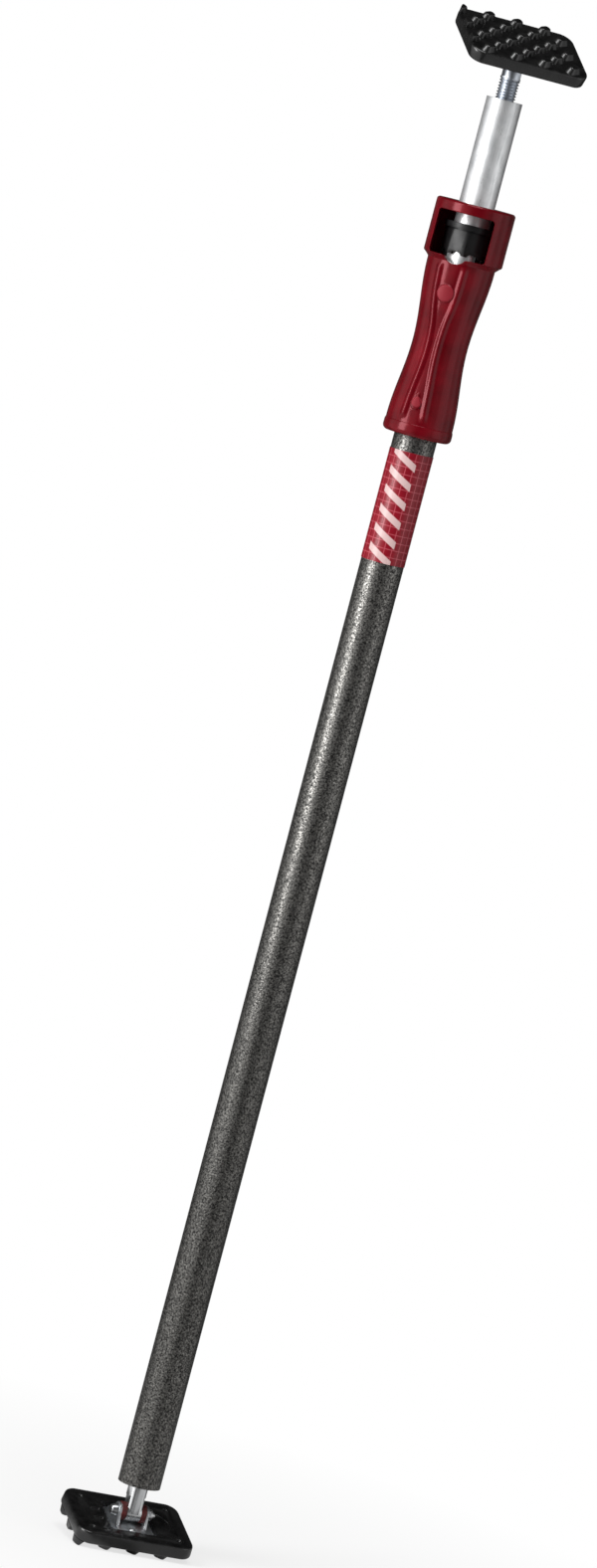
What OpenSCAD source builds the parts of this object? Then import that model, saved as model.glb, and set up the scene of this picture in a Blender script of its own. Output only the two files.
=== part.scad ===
// Telescopic drywall support pole.
// +Z runs up the pole, the thumb window faces -Y.
// The origin is where the pole's axis meets the sole of the foot pad.

/* [Tubes] */
// Outside diameter of the painted outer tube
outer_d = 30; // [28:0.5:32]
// Wall of the outer tube
outer_wall = 1.5; // [1.2:0.1:2]
// Length of the outer tube
outer_len = 833; // [600:1:1600]
// Outside diameter of the plated inner tube
inner_d = 25; // [24:0.1:25.5]
// Wall of the inner tube
inner_wall = 1.5; // [1.2:0.1:2]
// How far the inner tube stands out of the collar at rest
inner_show = 73.4; // [20:0.1:200]
// Free length of the outer tube under the inner tube at rest
slide_under = 89.4; // [66:0.1:300]
// Running clearance on a radius
run_gap = 0.08; // [0.03:0.01:0.1]
// Press fit clearance on a radius
seat_gap = 0.02; // [0:0.01:0.05]

/* [Spindle and foot rod] */
// Diameter of the threaded spindle and of the plain foot rod
rod_d = 14; // [12:0.5:15]
// From the head pin down to the top of the inner tube at rest
spindle_show = 27.6; // [26:0.1:60]
// Length of the spindle below the head pin
spindle_len = 150; // [120:1:200]
// Length of the threaded insert in the inner tube
nut_len = 25; // [15:1:40]
// How deep the insert sits below the tube's rim
nut_recess = 1.5; // [0.5:0.1:3]
// From the foot pin up to the lower end of the outer tube
foot_show = 20.5; // [20:0.1:40]
// Length of the foot plug in the outer tube
plug_len = 45; // [35:1:70]
// How deep the foot rod goes into its plug
rod_depth = 30; // [25:1:34]
// Width of the flattened end of either rod
tang_w = 10.5; // [8:0.1:11]
// Radius of the rounded end of the tang
tang_r = 6.3; // [5.5:0.1:6.5]

/* [Pads] */
// Length of a pad along its pin
pad_len = 87; // [75:1:110]
// Width of a pad across its pin
pad_w = 60; // [52:1:80]
// Thickness of the pad's body without the cleats
pad_t = 9; // [8:0.5:12]
// Height of the cleats
cleat_h = 4; // [2:0.5:5]
// Length of a cut corner of the pad
corner_cut = 10; // [6:1:14]
// From the cleat tips to the pin
pin_h = 18; // [17.5:0.1:22]
// Turn of the pads' pins about the pole
pad_turn = 36; // [-90:1:90]
// Lean of the head pad at rest
head_tilt = 26; // [-40:1:40]
// Lean of the foot pad at rest
foot_tilt = 16; // [-40:1:40]

/* [Handle] */
// Height of the whole handle
handle_h = 162; // [155:1:180]
// Diameter of the collar
collar_d = 55; // [53:0.5:62]
// Height of the collar
collar_h = 41; // [40:0.5:50]
// Diameter at the top of the grip
grip_top_d = 47; // [46:0.5:50]
// Diameter at the waist of the grip
waist_d = 38.1; // [37.5:0.1:42]
// Diameter at the foot of the grip
grip_foot_d = 46.7; // [44:0.1:50]
// Width of the thumb window
window_w = 40; // [36:0.5:41]
// Height of the band above the window
band_above = 7.4; // [6:0.1:9]

/* [Lock] */
// Diameter of the release ring's body
ring_d = 33; // [31:0.5:35]
// Height of the lock jaws
jaw_h = 14; // [10:0.5:16]
// Widening of the jaws from foot to top, on the radius
jaw_taper = 2; // [1:0.1:2.2]
// Turns of the lock spring
spring_turns = 4; // [3:1:6]
// Wire diameter of the lock spring
spring_wire = 1.4; // [1:0.1:1.6]

/* [Hidden] */
$fn = 96;

// One overrun for all cuts
cut = 1;
outer_r = outer_d / 2;
outer_bore = outer_r - outer_wall;
inner_r = inner_d / 2;
inner_bore = inner_r - inner_wall;
rod_r = rod_d / 2;

// Handle heights, from the handle's foot
bead_h = 9;
bead_round = 3.4;
bead_out = 0.6;
collar_foot = handle_h - collar_h;
collar_chamfer = 3.6;
collar_round = 2;
collar_wall = 3.2;
waist_share = 0.53;
waist_at = waist_share * collar_foot;
window_sill = 3.4;
window_foot = collar_foot + window_sill;
window_top = handle_h - band_above;
window_round = 2;
notch_r = 9.5;
notch_drop = 4.4;
cap_t = 1.5;
cap_r = 18.5;
cap_under = 2.5;
cap_foot = collar_foot - cap_under;
chamber_h = 30;
chamber_foot = cap_foot - chamber_h;
cone_r = 17.5;
lip_t = 3;
flange_t = 1.5;
slide_room = 0.3;
tube_in = chamber_foot - lip_t - flange_t;
boss_r = 6;
boss_drop = 21.5;
boss_proud = 0.8;

// Two ridges down the front of the grip: their spread at shares of its length, from its foot
ridge_spreads = [[0.03, 7.4], [0.2, 6], [0.37, 4], [0.5, 3.6], [0.63, 4.6], [0.72, 6.6], [0.82, 8], [0.94, 8.6]];
ridge_w = 4;
ridge_proud = 0.9;
ridge_shoulder_share = 0.6;
ridge_root = 1.5;
ridge_steps = 16;
drop_up = 22;
drop_r = 3.2;
drop_len = 6;
drop_proud = 0.5;

// Heights on the pole
bush_sleeve = 20;
foot_pin_z = pin_h / cos(foot_tilt);
outer_z = foot_pin_z + foot_show;
outer_top = outer_z + outer_len;
handle_z = outer_top - tube_in;
inner_top = handle_z + handle_h + inner_show;
inner_foot = outer_z + plug_len + slide_under + bush_sleeve;
head_pin_z = inner_top + spindle_show;

// Printed sleeve round the outer tube
band_len = 77.5;
band_drop = 11;
band_t = 0.3;

// Lock
cone_over = 2;
cone_h = jaw_h + cone_over;
jaw_up = 1;
jaw_foot = chamber_foot + jaw_up;
jaw_foot_r = 14;
jaw_arc = 100;
leg_r = inner_r + slide_room;
leg_t = 1;
leg_w = 5;
leg_sink = 3;
ring_up = 5.4;
ring_foot = collar_foot + ring_up;
ring_body_h = 16.8;
ring_groove = 0.8;
ring_groove_depth = 1.2;
ring_flange_t = 4;
ring_flange_r = 18;
facet_top = 15.95;
facet_foot = 15.35;
facet_turn = -9;
scallop_w = 9;
scallop_top_w = 5;
scallop_rise = 2;
spring_r = 15.4;

// Spindle, foot rod and their small pieces
neck_len = 6;
journal_r = 5;
journal_len = 14;
guide_len = 12;
clip_t = 1.2;
clip_r = 7;
groove_depth = 0.8;
keeper_r = 2;
keeper_up = 12;
keeper_depth = 1.8;
ball_r = 5;
bush_len = 25;
bush_spigot = 15;
lower_pin_up = 22;
upper_pin_down = 24;
pin_hole_at = [lower_pin_up, tube_in - upper_pin_down];
handle_pin_r = 2.5;
pin_sink = 0.6;

// Pads
pad_total = pad_t + cleat_h;
floor_t = 2.5;
plate_t = 2.5;
plate_len = 56;
plate_w = 46;
plate_z = cleat_h + floor_t;
pocket_len = 35;
pocket_w = 36;
dimple_r = 2;
dimple_depth = 1;
dimple_x_share = 0.37;
dimple_y_share = 0.33;
slot_len = 7;
slot_w = 1.8;
slot_x_share = 0.28;
slot_y_share = 0.1;
step_r = 13;
step_depth = 0.8;
cleat_pitch = 21;
row_pitch = 9.5;
row_count = 6;
cleat_len = 9;
cleat_w = 6.4;
cleat_turn = 30;
cleat_tip_share = 0.55;
corner_steps = 5;

// Fork, pin, washers and rivets
ear_in = 18.4;
ear_t = 2;
fork_t = 2;
fork_w = 34;
ear_r = 6;
ear_foot_w = 20;
pin_r = 3;
pin_head_r = 4.5;
pin_head_share = 0.7;
pin_head_t = 4.6;
pin_nut_r = 4;
pin_nut_t = 3.6;
pin_nib_r = 2;
pin_nib_t = 2.2;
washer_r = 6.5;
washer_gap = 0.15;
rivet_r = 1.6;
rivet_head_r = 2.8;
rivet_head_t = 1.2;
rivet_y = 12.5;

// A tube standing on z
module pipe(r_out, r_in, h) {
    difference() {
        cylinder(h = h, r = r_out);
        translate([0, 0, -cut]) cylinder(h = h + 2 * cut, r = r_in);
    }
}

// Outline of a pad, a rectangle with rounded cut corners
function corner_points(x, y, r, from) =
    [for (i = [0 : corner_steps])
        let (a = from + 90 * i / corner_steps)
        [x + r * cos(a), y + r * sin(a)]];

module pad_outline() {
    x = pad_len / 2 - corner_cut;
    y = pad_w / 2 - corner_cut;
    r = corner_cut;
    polygon(concat(corner_points(x, y, r, 0), corner_points(-x, y, r, 90),
        corner_points(-x, -y, r, 180), corner_points(x, -y, r, 270)));
}

// One cleat, standing on z with its tip up
module cleat() {
    a = cleat_len / 2;
    b = cleat_w / 2;
    rotate([0, 0, cleat_turn]) linear_extrude(height = cleat_h, scale = cleat_tip_share)
        polygon([[b, a / 2], [b / 2, a], [-b / 2, a], [-b, a / 2],
            [-b, -a / 2], [-b / 2, -a], [b / 2, -a], [b, -a / 2]]);
}

// Staggered rows of cleats, cut off at the pad's outline, with one cleat on the middle of the sole
module tread() {
    per_row = floor((pad_len - cleat_pitch / 2) / cleat_pitch) + 1;
    intersection() {
        linear_extrude(height = cleat_h) pad_outline();
        for (row = [0 : row_count - 1])
            for (col = [0 : per_row - 1]) {
                x = (col - (per_row - 1) / 2 - (row % 2 == 0 ? 1 / 2 : 0)) * cleat_pitch;
                y = (row - (row_count - 1) / 2) * row_pitch;
                translate([x, y, cleat_h]) mirror([0, 0, 1]) cleat();
            }
    }
}

// Rubber pad, sole on z = 0, pin along x at pin_h
module pad() {
    color("#1c1c1e") {
        difference() {
            translate([0, 0, cleat_h]) linear_extrude(height = pad_t) pad_outline();
            translate([-plate_len / 2, -plate_w / 2, plate_z]) cube([plate_len, plate_w, plate_t]);
            translate([-pocket_len / 2, -pocket_w / 2, plate_z + plate_t / 2])
                cube([pocket_len, pocket_w, pad_t]);
            for (sx = [-1, 1], sy = [-1, 1])
                translate([sx * pad_len * dimple_x_share, sy * pad_w * dimple_y_share, pad_total - dimple_depth])
                    cylinder(h = dimple_depth + cut, r = dimple_r, $fn = 24);
            for (s = [-1, 1])
                translate([-pad_len * slot_x_share - slot_len / 2, s * pad_w * slot_y_share - slot_w / 2, pad_total - dimple_depth])
                    cube([slot_len, slot_w, dimple_depth + cut]);
            translate([pocket_len / 2, 0, pad_total - step_depth])
                cylinder(h = step_depth + cut, r = step_r, $fn = 48);
        }
        tread();
    }
}

module pad_plate() {
    color("silver") difference() {
        translate([-plate_len / 2, -plate_w / 2, plate_z]) cube([plate_len, plate_w, plate_t]);
        for (s = [-1, 1])
            translate([0, s * rivet_y, plate_z - cut]) cylinder(h = plate_t + 2 * cut, r = rivet_r, $fn = 32);
    }
}

// Pressed fork, its base on the plate
module fork() {
    base_z = plate_z + plate_t;
    span = ear_in + 2 * ear_t;
    color("silver") difference() {
        union() {
            translate([-span / 2, -fork_w / 2, base_z]) cube([span, fork_w, fork_t]);
            for (s = [-1, 1])
                translate([s * (ear_in + ear_t) / 2, 0, 0]) rotate([90, 0, 90])
                    translate([0, 0, -ear_t / 2]) {
                        linear_extrude(height = ear_t)
                            polygon([[-ear_foot_w / 2, base_z], [ear_foot_w / 2, base_z],
                                [ear_r, pin_h], [-ear_r, pin_h]]);
                        translate([0, pin_h, 0]) cylinder(h = ear_t, r = ear_r);
                    }
        }
        translate([0, 0, pin_h]) rotate([0, 90, 0])
            cylinder(h = span + 2 * cut, r = pin_r + seat_gap, center = true);
        for (s = [-1, 1])
            translate([0, s * rivet_y, base_z - cut]) cylinder(h = fork_t + 2 * cut, r = rivet_r, $fn = 32);
    }
}

module rivets() {
    color("gainsboro") for (s = [-1, 1]) translate([0, s * rivet_y, plate_z]) {
        cylinder(h = plate_t + fork_t, r = rivet_r, $fn = 32);
        translate([0, 0, plate_t + fork_t])
            cylinder(h = rivet_head_t, r1 = rivet_head_r, r2 = rivet_head_r / 2, $fn = 32);
    }
}

module cross_pin() {
    half = ear_in / 2 + ear_t;
    color("gainsboro") translate([0, 0, pin_h]) rotate([0, 90, 0]) {
        cylinder(h = 2 * half, r = pin_r, center = true);
        translate([0, 0, -half - pin_head_t]) cylinder(h = pin_head_t, r1 = pin_head_share * pin_head_r, r2 = pin_head_r);
        translate([0, 0, half]) {
            cylinder(h = pin_nut_t, r = pin_nut_r);
            cylinder(h = pin_nut_t + pin_nib_t, r = pin_nib_r);
        }
    }
}

module washers() {
    t = (ear_in - tang_w) / 2 - washer_gap;
    color("darkred") for (s = [-1, 1])
        translate([s * (ear_in - t) / 2, 0, pin_h]) rotate([0, 90, 0])
            translate([0, 0, -t / 2]) pipe(washer_r, pin_r + seat_gap, t);
}

// Places of the two pads on the pole
module at_foot() {
    translate([0, 0, foot_pin_z]) rotate([0, 0, pad_turn]) rotate([foot_tilt, 0, 0])
        translate([0, 0, -pin_h]) children();
}

module at_head() {
    translate([0, 0, head_pin_z]) rotate([0, 0, pad_turn]) rotate([head_tilt + 180, 0, 0])
        translate([0, 0, -pin_h]) children();
}

// Rod with a flattened, rounded end: pin at the origin, rod going up
module tanged_rod(length) {
    flat_len = 2 * neck_len + tang_r;
    difference() {
        union() {
            cylinder(h = length, r = rod_r);
            rotate([0, 90, 0]) cylinder(h = tang_w, r = tang_r, center = true);
        }
        for (s = [-1, 1])
            translate([s * (tang_w / 2 + rod_r), 0, flat_len / 2 - tang_r])
                cube([2 * rod_r, 4 * rod_r, flat_len], center = true);
        rotate([0, 90, 0]) cylinder(h = tang_w + 2 * rod_r, r = pin_r + run_gap, center = true);
    }
}

module outer_tube() {
    color("#3c3c3a") translate([0, 0, outer_z]) difference() {
        pipe(outer_r, outer_bore, outer_len);
        translate([0, keeper_y(), keeper_up]) rotate([0, 90, 0])
            cylinder(h = 2 * outer_d, r = keeper_r, center = true);
        for (z = pin_hole_at) handle_pin_hole(outer_len - tube_in + z);
    }
}

function keeper_y() = rod_r - keeper_depth + run_gap + keeper_r;

module handle_pin_hole(z) {
    translate([0, 0, z]) rotate([-90, 0, 0]) cylinder(h = collar_d, r = handle_pin_r);
}

// Radius of the grip at a height above the handle's foot
function grip_r(z) = z < waist_at
    ? waist_d / 2 + (grip_foot_d - waist_d) / 2 * (1 - cos(180 * (waist_at - z) / (waist_at - bead_h))) / 2
    : waist_d / 2 + (grip_top_d - waist_d) / 2 * (1 - cos(180 * (z - waist_at) / (collar_foot - waist_at))) / 2;

grip_steps = 24;
bead_steps = 8;
bead_r = grip_foot_d / 2 + bead_out;

module handle_profile() {
    collar_r = collar_d / 2;
    polygon(concat(
        [[0, 0]],
        [for (i = [0 : bead_steps])
            let (a = -90 + 90 * i / bead_steps)
            [bead_r - bead_round + bead_round * cos(a), bead_round + bead_round * sin(a)]],
        [for (i = [0 : bead_steps])
            let (a = 90 * i / bead_steps)
            [bead_r - bead_out * (1 - cos(a)), bead_h - bead_round + (bead_round - bead_out) * sin(a)]],
        [for (i = [0 : grip_steps])
            let (z = bead_h + (collar_foot - bead_h) * i / grip_steps)
            [grip_r(z), z]],
        [[collar_r, collar_foot + collar_chamfer]],
        [for (i = [0 : bead_steps])
            let (a = 90 * i / bead_steps)
            [collar_r - collar_round + collar_round * cos(a), handle_h - collar_round + collar_round * sin(a)]],
        [[0, handle_h]]));
}

// One ring of a ridge's section: on the grip's surface, rounded over, with its root inside the wall
function ridge_ring(share, side) =
    let (z = bead_h + share * (collar_foot - bead_h), x = side * lookup(share, ridge_spreads), r = grip_r(z))
    [for (k = [[-1 / 2, -ridge_root], [-1 / 3, ridge_shoulder_share * ridge_proud], [0, ridge_proud],
            [1 / 3, ridge_shoulder_share * ridge_proud], [1 / 2, -ridge_root]])
        [x + k[0] * ridge_w, -sqrt(r * r - pow(x + k[0] * ridge_w, 2)) - k[1], z]];

module ridge(side) {
    first = ridge_spreads[0][0];
    last = ridge_spreads[len(ridge_spreads) - 1][0];
    points = [for (i = [0 : ridge_steps]) each ridge_ring(first + (last - first) * i / ridge_steps, side)];
    sides = [for (i = [0 : ridge_steps - 1], k = [0 : 4])
        let (n = (k + 1) % 5, p = 5 * i, q = p + 5)
        each [[p + k, q + k, q + n], [p + k, q + n, p + n]]];
    end = 5 * ridge_steps;
    ends = [for (k = [1 : 3]) each [[0, k, k + 1], [end, end + k + 1, end + k]]];
    polyhedron(points = points, faces = concat(sides, ends));
}

module handle() {
    color("#8a0f1a") translate([0, 0, handle_z]) difference() {
        union() {
            rotate_extrude() handle_profile();
            translate([0, 0, collar_foot - boss_drop]) rotate([90, 0, 0])
                cylinder(h = grip_r(collar_foot - boss_drop) + boss_proud, r = boss_r);
            for (side = [-1, 1]) ridge(side);
            translate([0, 0, drop_up]) rotate([90, 0, 0])
                linear_extrude(height = grip_r(drop_up) + drop_proud) hull() {
                    circle(r = drop_r, $fn = 24);
                    translate([0, drop_len]) circle(r = drop_proud, $fn = 12);
                }
        }
        translate([0, 0, -cut]) cylinder(h = tube_in + flange_t + cut, r = outer_r + seat_gap);
        cylinder(h = chamber_foot + cut, r = inner_r + slide_room);
        translate([0, 0, chamber_foot]) cylinder(h = chamber_h + cut, r = cone_r + seat_gap);
        translate([0, 0, cap_foot]) cylinder(h = window_foot - cap_foot + cut, r = cap_r + seat_gap);
        translate([0, 0, window_foot])
            cylinder(h = window_top - window_foot, r = collar_d / 2 - collar_wall);
        cylinder(h = handle_h + cut, r = inner_r + run_gap);
        window_cut();
        for (z = pin_hole_at) handle_pin_hole(z);
    }
}

module window_cut() {
    x = window_w / 2;
    rotate([90, 0, 0]) {
        linear_extrude(height = collar_d) polygon([
            [-x, window_foot + window_round], [-x + window_round, window_foot],
            [x - window_round, window_foot], [x, window_foot + window_round],
            [x, window_top - window_round], [x - window_round, window_top],
            [-x + window_round, window_top], [-x, window_top - window_round]]);
        translate([0, window_foot - notch_drop + notch_r, 0]) cylinder(h = collar_d, r = notch_r);
    }
}

module handle_pins() {
    color("silver") translate([0, 0, handle_z]) for (z = pin_hole_at)
        translate([0, outer_bore + pin_sink, z]) rotate([-90, 0, 0])
            cylinder(h = grip_r(z) - outer_bore - 2 * pin_sink, r = handle_pin_r - seat_gap);
}

module band() {
    color("#9b0c22") translate([0, 0, handle_z - band_drop - band_len])
        pipe(outer_r + seat_gap + band_t, outer_r + seat_gap, band_len);
}

module tube_bush() {
    color("#222222") translate([0, 0, outer_top]) {
        pipe(outer_r, inner_r + run_gap, flange_t);
        translate([0, 0, -bush_len]) pipe(outer_bore - seat_gap, inner_r + run_gap, bush_len + flange_t / 2);
    }
}

module foot_plug() {
    color("silver") translate([0, 0, outer_z]) difference() {
        cylinder(h = plug_len, r = outer_bore - seat_gap);
        translate([0, 0, -cut]) cylinder(h = rod_depth + cut, r = rod_r + run_gap);
        translate([0, 0, rod_depth - cut]) cylinder(h = 2 * ball_r + cut, r = ball_r + run_gap);
        translate([0, keeper_y(), keeper_up]) rotate([0, 90, 0])
            cylinder(h = 2 * outer_d, r = keeper_r, center = true);
    }
}

module foot_keeper() {
    length = 2 * sqrt(outer_r * outer_r - pow(keeper_y() + keeper_r, 2));
    color("gray") translate([0, keeper_y(), outer_z + keeper_up]) rotate([0, 90, 0])
        cylinder(h = length, r = keeper_r - seat_gap, center = true);
}

module thrust_ball() {
    color("silver") translate([0, 0, outer_z + rod_depth + ball_r]) sphere(r = ball_r - seat_gap);
}

// The two tapered faces of the lock share this slope
jaw_top_r = jaw_foot_r + jaw_taper;

module lock_cone() {
    slope = jaw_taper / jaw_h;
    low = jaw_foot_r + run_gap - slope * (jaw_foot - chamber_foot);
    color("silver") translate([0, 0, handle_z + chamber_foot]) difference() {
        cylinder(h = cone_h, r = cone_r);
        translate([0, 0, -cut])
            cylinder(h = cone_h + 2 * cut, r1 = low - slope * cut, r2 = low + slope * (cone_h + cut));
    }
}

module lock_jaws() {
    color("gray") translate([0, 0, handle_z + jaw_foot]) for (a = [90, 210, 330])
        rotate([0, 0, a]) difference() {
            intersection() {
                difference() {
                    cylinder(h = jaw_h, r1 = jaw_foot_r, r2 = jaw_top_r);
                    translate([0, 0, -cut]) cylinder(h = jaw_h + 2 * cut, r = inner_r + run_gap);
                }
                linear_extrude(height = jaw_h) polygon([[0, 0],
                    2 * jaw_top_r * [cos(jaw_arc / 2), -sin(jaw_arc / 2)],
                    2 * jaw_top_r * [1, 0],
                    2 * jaw_top_r * [cos(jaw_arc / 2), sin(jaw_arc / 2)]]);
            }
            translate([0, -leg_w / 2 - seat_gap, jaw_h - leg_sink])
                cube([leg_r + leg_t + seat_gap, leg_w + 2 * seat_gap, leg_sink + cut]);
        }
}

module lock_cap() {
    color("silver") translate([0, 0, handle_z + cap_foot])
        pipe(cap_r, leg_r + leg_t + slide_room, cap_t);
}

// Compression spring between the jaws and the cap, one unbroken wire
spring_foot = jaw_foot + jaw_h + spring_wire / 2;
spring_top = cap_foot - spring_wire / 2;
spring_sides = 6;
spring_rings = 12;

module lock_spring() {
    count = spring_turns * spring_rings;
    rise = spring_top - spring_foot;
    gap = rise / spring_turns - spring_wire;
    echo(spring_gap = gap);
    points = [for (i = [0 : count], k = [0 : spring_sides - 1])
        let (a = 360 * i / spring_rings, b = 360 * k / spring_sides,
            r = spring_r + spring_wire / 2 * cos(b))
        [r * cos(a), r * sin(a), spring_foot + rise * i / count + spring_wire / 2 * sin(b)]];
    sides = [for (i = [0 : count - 1], k = [0 : spring_sides - 1])
        let (n = (k + 1) % spring_sides, p = i * spring_sides, q = p + spring_sides)
        each [[p + k, q + k, q + n], [p + k, q + n, p + n]]];
    last = count * spring_sides;
    ends = [for (k = [1 : spring_sides - 2]) each [[0, k, k + 1], [last, last + k + 1, last + k]]];
    color("silver") translate([0, 0, handle_z]) polyhedron(points = points, faces = concat(sides, ends));
}

// Body of the release ring: tapered flats round it, a scalloped lower edge
module ring_body() {
    lean = atan((facet_top - facet_foot) / ring_body_h);
    difference() {
        cylinder(h = ring_body_h, r = ring_d / 2);
        for (i = [0 : 7]) rotate([0, 0, 45 * i + facet_turn]) {
            translate([0, -facet_foot, 0]) rotate([lean, 0, 0])
                translate([-ring_d / 2, -ring_d, -cut]) cube([ring_d, ring_d, ring_body_h + 3 * cut]);
            translate([0, -inner_r, 0]) rotate([90, 0, 0]) linear_extrude(height = ring_d)
                polygon([[-scallop_w / 2, -cut], [-scallop_w / 2, 0], [-scallop_top_w / 2, scallop_rise],
                    [scallop_top_w / 2, scallop_rise], [scallop_w / 2, 0], [scallop_w / 2, -cut]]);
        }
    }
}

module release_ring() {
    neck_r = ring_d / 2 - ring_groove_depth;
    leg_foot = jaw_foot + jaw_h - leg_sink + seat_gap;
    color("#202022") translate([0, 0, handle_z]) difference() {
        union() {
            translate([0, 0, ring_foot]) {
                ring_body();
                translate([0, 0, ring_body_h - cut]) cylinder(h = ring_groove + 2 * cut, r = neck_r);
                translate([0, 0, ring_body_h + ring_groove]) cylinder(h = ring_flange_t, r = ring_flange_r);
            }
            for (a = [90, 210, 330]) rotate([0, 0, a])
                translate([leg_r - leg_t, -leg_w / 2, leg_foot])
                    cube([2 * leg_t, leg_w, ring_foot + 2 * scallop_rise - leg_foot]);
        }
        translate([0, 0, leg_foot - cut]) cylinder(h = handle_h, r = leg_r);
    }
}

module inner_tube() {
    color("gainsboro") translate([0, 0, inner_foot]) pipe(inner_r, inner_bore, inner_top - inner_foot);
}

module inner_bush() {
    color("#222222") translate([0, 0, inner_foot]) {
        translate([0, 0, -bush_sleeve]) pipe(outer_bore - run_gap, journal_r, bush_sleeve);
        translate([0, 0, -cut]) pipe(inner_bore - seat_gap, journal_r, bush_spigot + cut);
    }
}

module spindle_nut() {
    color("darkgray") translate([0, 0, inner_top - nut_recess - nut_len])
        pipe(inner_bore - seat_gap, rod_r + run_gap, nut_len);
}

// Lower end of the spindle, below the threaded length
spindle_foot = head_pin_z - spindle_len;

module spindle() {
    color("lightsteelblue") {
        translate([0, 0, head_pin_z]) rotate([0, 0, pad_turn]) mirror([0, 0, 1])
            tanged_rod(spindle_len - journal_len);
        difference() {
            translate([0, 0, spindle_foot]) cylinder(h = journal_len + cut, r = journal_r);
            translate([0, 0, spindle_foot + journal_len - guide_len - clip_t - seat_gap])
                pipe(rod_r, journal_r - groove_depth, clip_t);
        }
    }
}

module spindle_guide() {
    color("#2a2a2a") translate([0, 0, spindle_foot + journal_len - guide_len])
        pipe(inner_bore - run_gap, journal_r + run_gap, guide_len - seat_gap);
}

module spindle_clip() {
    color("gray") translate([0, 0, spindle_foot + journal_len - guide_len - clip_t - seat_gap])
        pipe(clip_r, journal_r - groove_depth, clip_t);
}

module foot_rod() {
    length = foot_show + rod_depth - slide_room;
    color("silver") translate([0, 0, foot_pin_z]) difference() {
        rotate([0, 0, pad_turn]) tanged_rod(length);
        translate([0, 0, foot_show + keeper_up - keeper_r - slide_room])
            pipe(2 * rod_r, rod_r - keeper_depth, 2 * keeper_r + 2 * slide_room);
    }
}

module head_pad() { at_head() pad(); }
module head_plate() { at_head() pad_plate(); }
module head_fork() { at_head() fork(); }
module head_rivets() { at_head() rivets(); }
module head_pin() { at_head() cross_pin(); }
module head_washers() { at_head() washers(); }
module foot_pad() { at_foot() pad(); }
module foot_plate() { at_foot() pad_plate(); }
module foot_fork() { at_foot() fork(); }
module foot_rivets() { at_foot() rivets(); }
module foot_pin() { at_foot() cross_pin(); }
module foot_washers() { at_foot() washers(); }

outer_tube();
band();
handle();
handle_pins();
tube_bush();
foot_plug();
foot_keeper();
thrust_ball();
lock_cone();
lock_cap();
lock_spring();
release_ring();
lock_jaws();
inner_tube();
inner_bush();
spindle_nut();
spindle_guide();
spindle();
spindle_clip();
head_pad();
head_plate();
head_fork();
head_rivets();
head_pin();
head_washers();
foot_rod();
foot_pad();
foot_plate();
foot_fork();
foot_rivets();
foot_pin();
foot_washers();
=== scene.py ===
import math
import bmesh
import bpy
from mathutils import Matrix, Vector


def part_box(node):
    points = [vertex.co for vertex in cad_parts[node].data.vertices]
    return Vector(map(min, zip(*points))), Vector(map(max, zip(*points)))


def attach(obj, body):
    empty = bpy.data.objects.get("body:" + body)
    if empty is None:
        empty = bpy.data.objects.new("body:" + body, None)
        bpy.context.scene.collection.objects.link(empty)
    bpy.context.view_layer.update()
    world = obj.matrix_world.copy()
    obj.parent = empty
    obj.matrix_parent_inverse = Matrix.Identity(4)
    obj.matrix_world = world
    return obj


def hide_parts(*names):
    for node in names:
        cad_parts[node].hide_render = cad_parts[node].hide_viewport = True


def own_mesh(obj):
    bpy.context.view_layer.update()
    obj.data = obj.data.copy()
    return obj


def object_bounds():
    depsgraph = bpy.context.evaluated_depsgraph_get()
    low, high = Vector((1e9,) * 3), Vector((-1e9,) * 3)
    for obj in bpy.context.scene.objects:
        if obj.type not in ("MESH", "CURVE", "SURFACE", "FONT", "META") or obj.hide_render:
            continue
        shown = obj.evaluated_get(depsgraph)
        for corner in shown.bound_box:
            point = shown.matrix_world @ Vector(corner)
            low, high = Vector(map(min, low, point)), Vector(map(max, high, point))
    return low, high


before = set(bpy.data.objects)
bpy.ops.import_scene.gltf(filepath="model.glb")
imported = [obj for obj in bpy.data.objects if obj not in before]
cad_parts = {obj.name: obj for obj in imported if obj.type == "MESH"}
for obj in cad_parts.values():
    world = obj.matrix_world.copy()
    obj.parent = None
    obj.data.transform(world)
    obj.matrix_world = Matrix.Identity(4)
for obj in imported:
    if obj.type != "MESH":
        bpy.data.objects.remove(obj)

cad_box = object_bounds()

# The camera stands 4.7 m off, a little lower than the pole's top, and looks slightly down.
# It is rolled, so that the upright pole leans across the picture as it does in the photograph.
MM = 0.001
VIEW_AZIMUTH = math.radians(14)
VIEW_DISTANCE = 4.6754
VIEW_HEIGHT = 1.0165
VIEW_PITCH = math.radians(-5.8454)
VIEW_YAW = math.radians(0.2068)
VIEW_ROLL = math.radians(14.779)
SENSOR_WIDTH = 36
FOCAL_SHARE = 6905.6 / 1576

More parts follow.
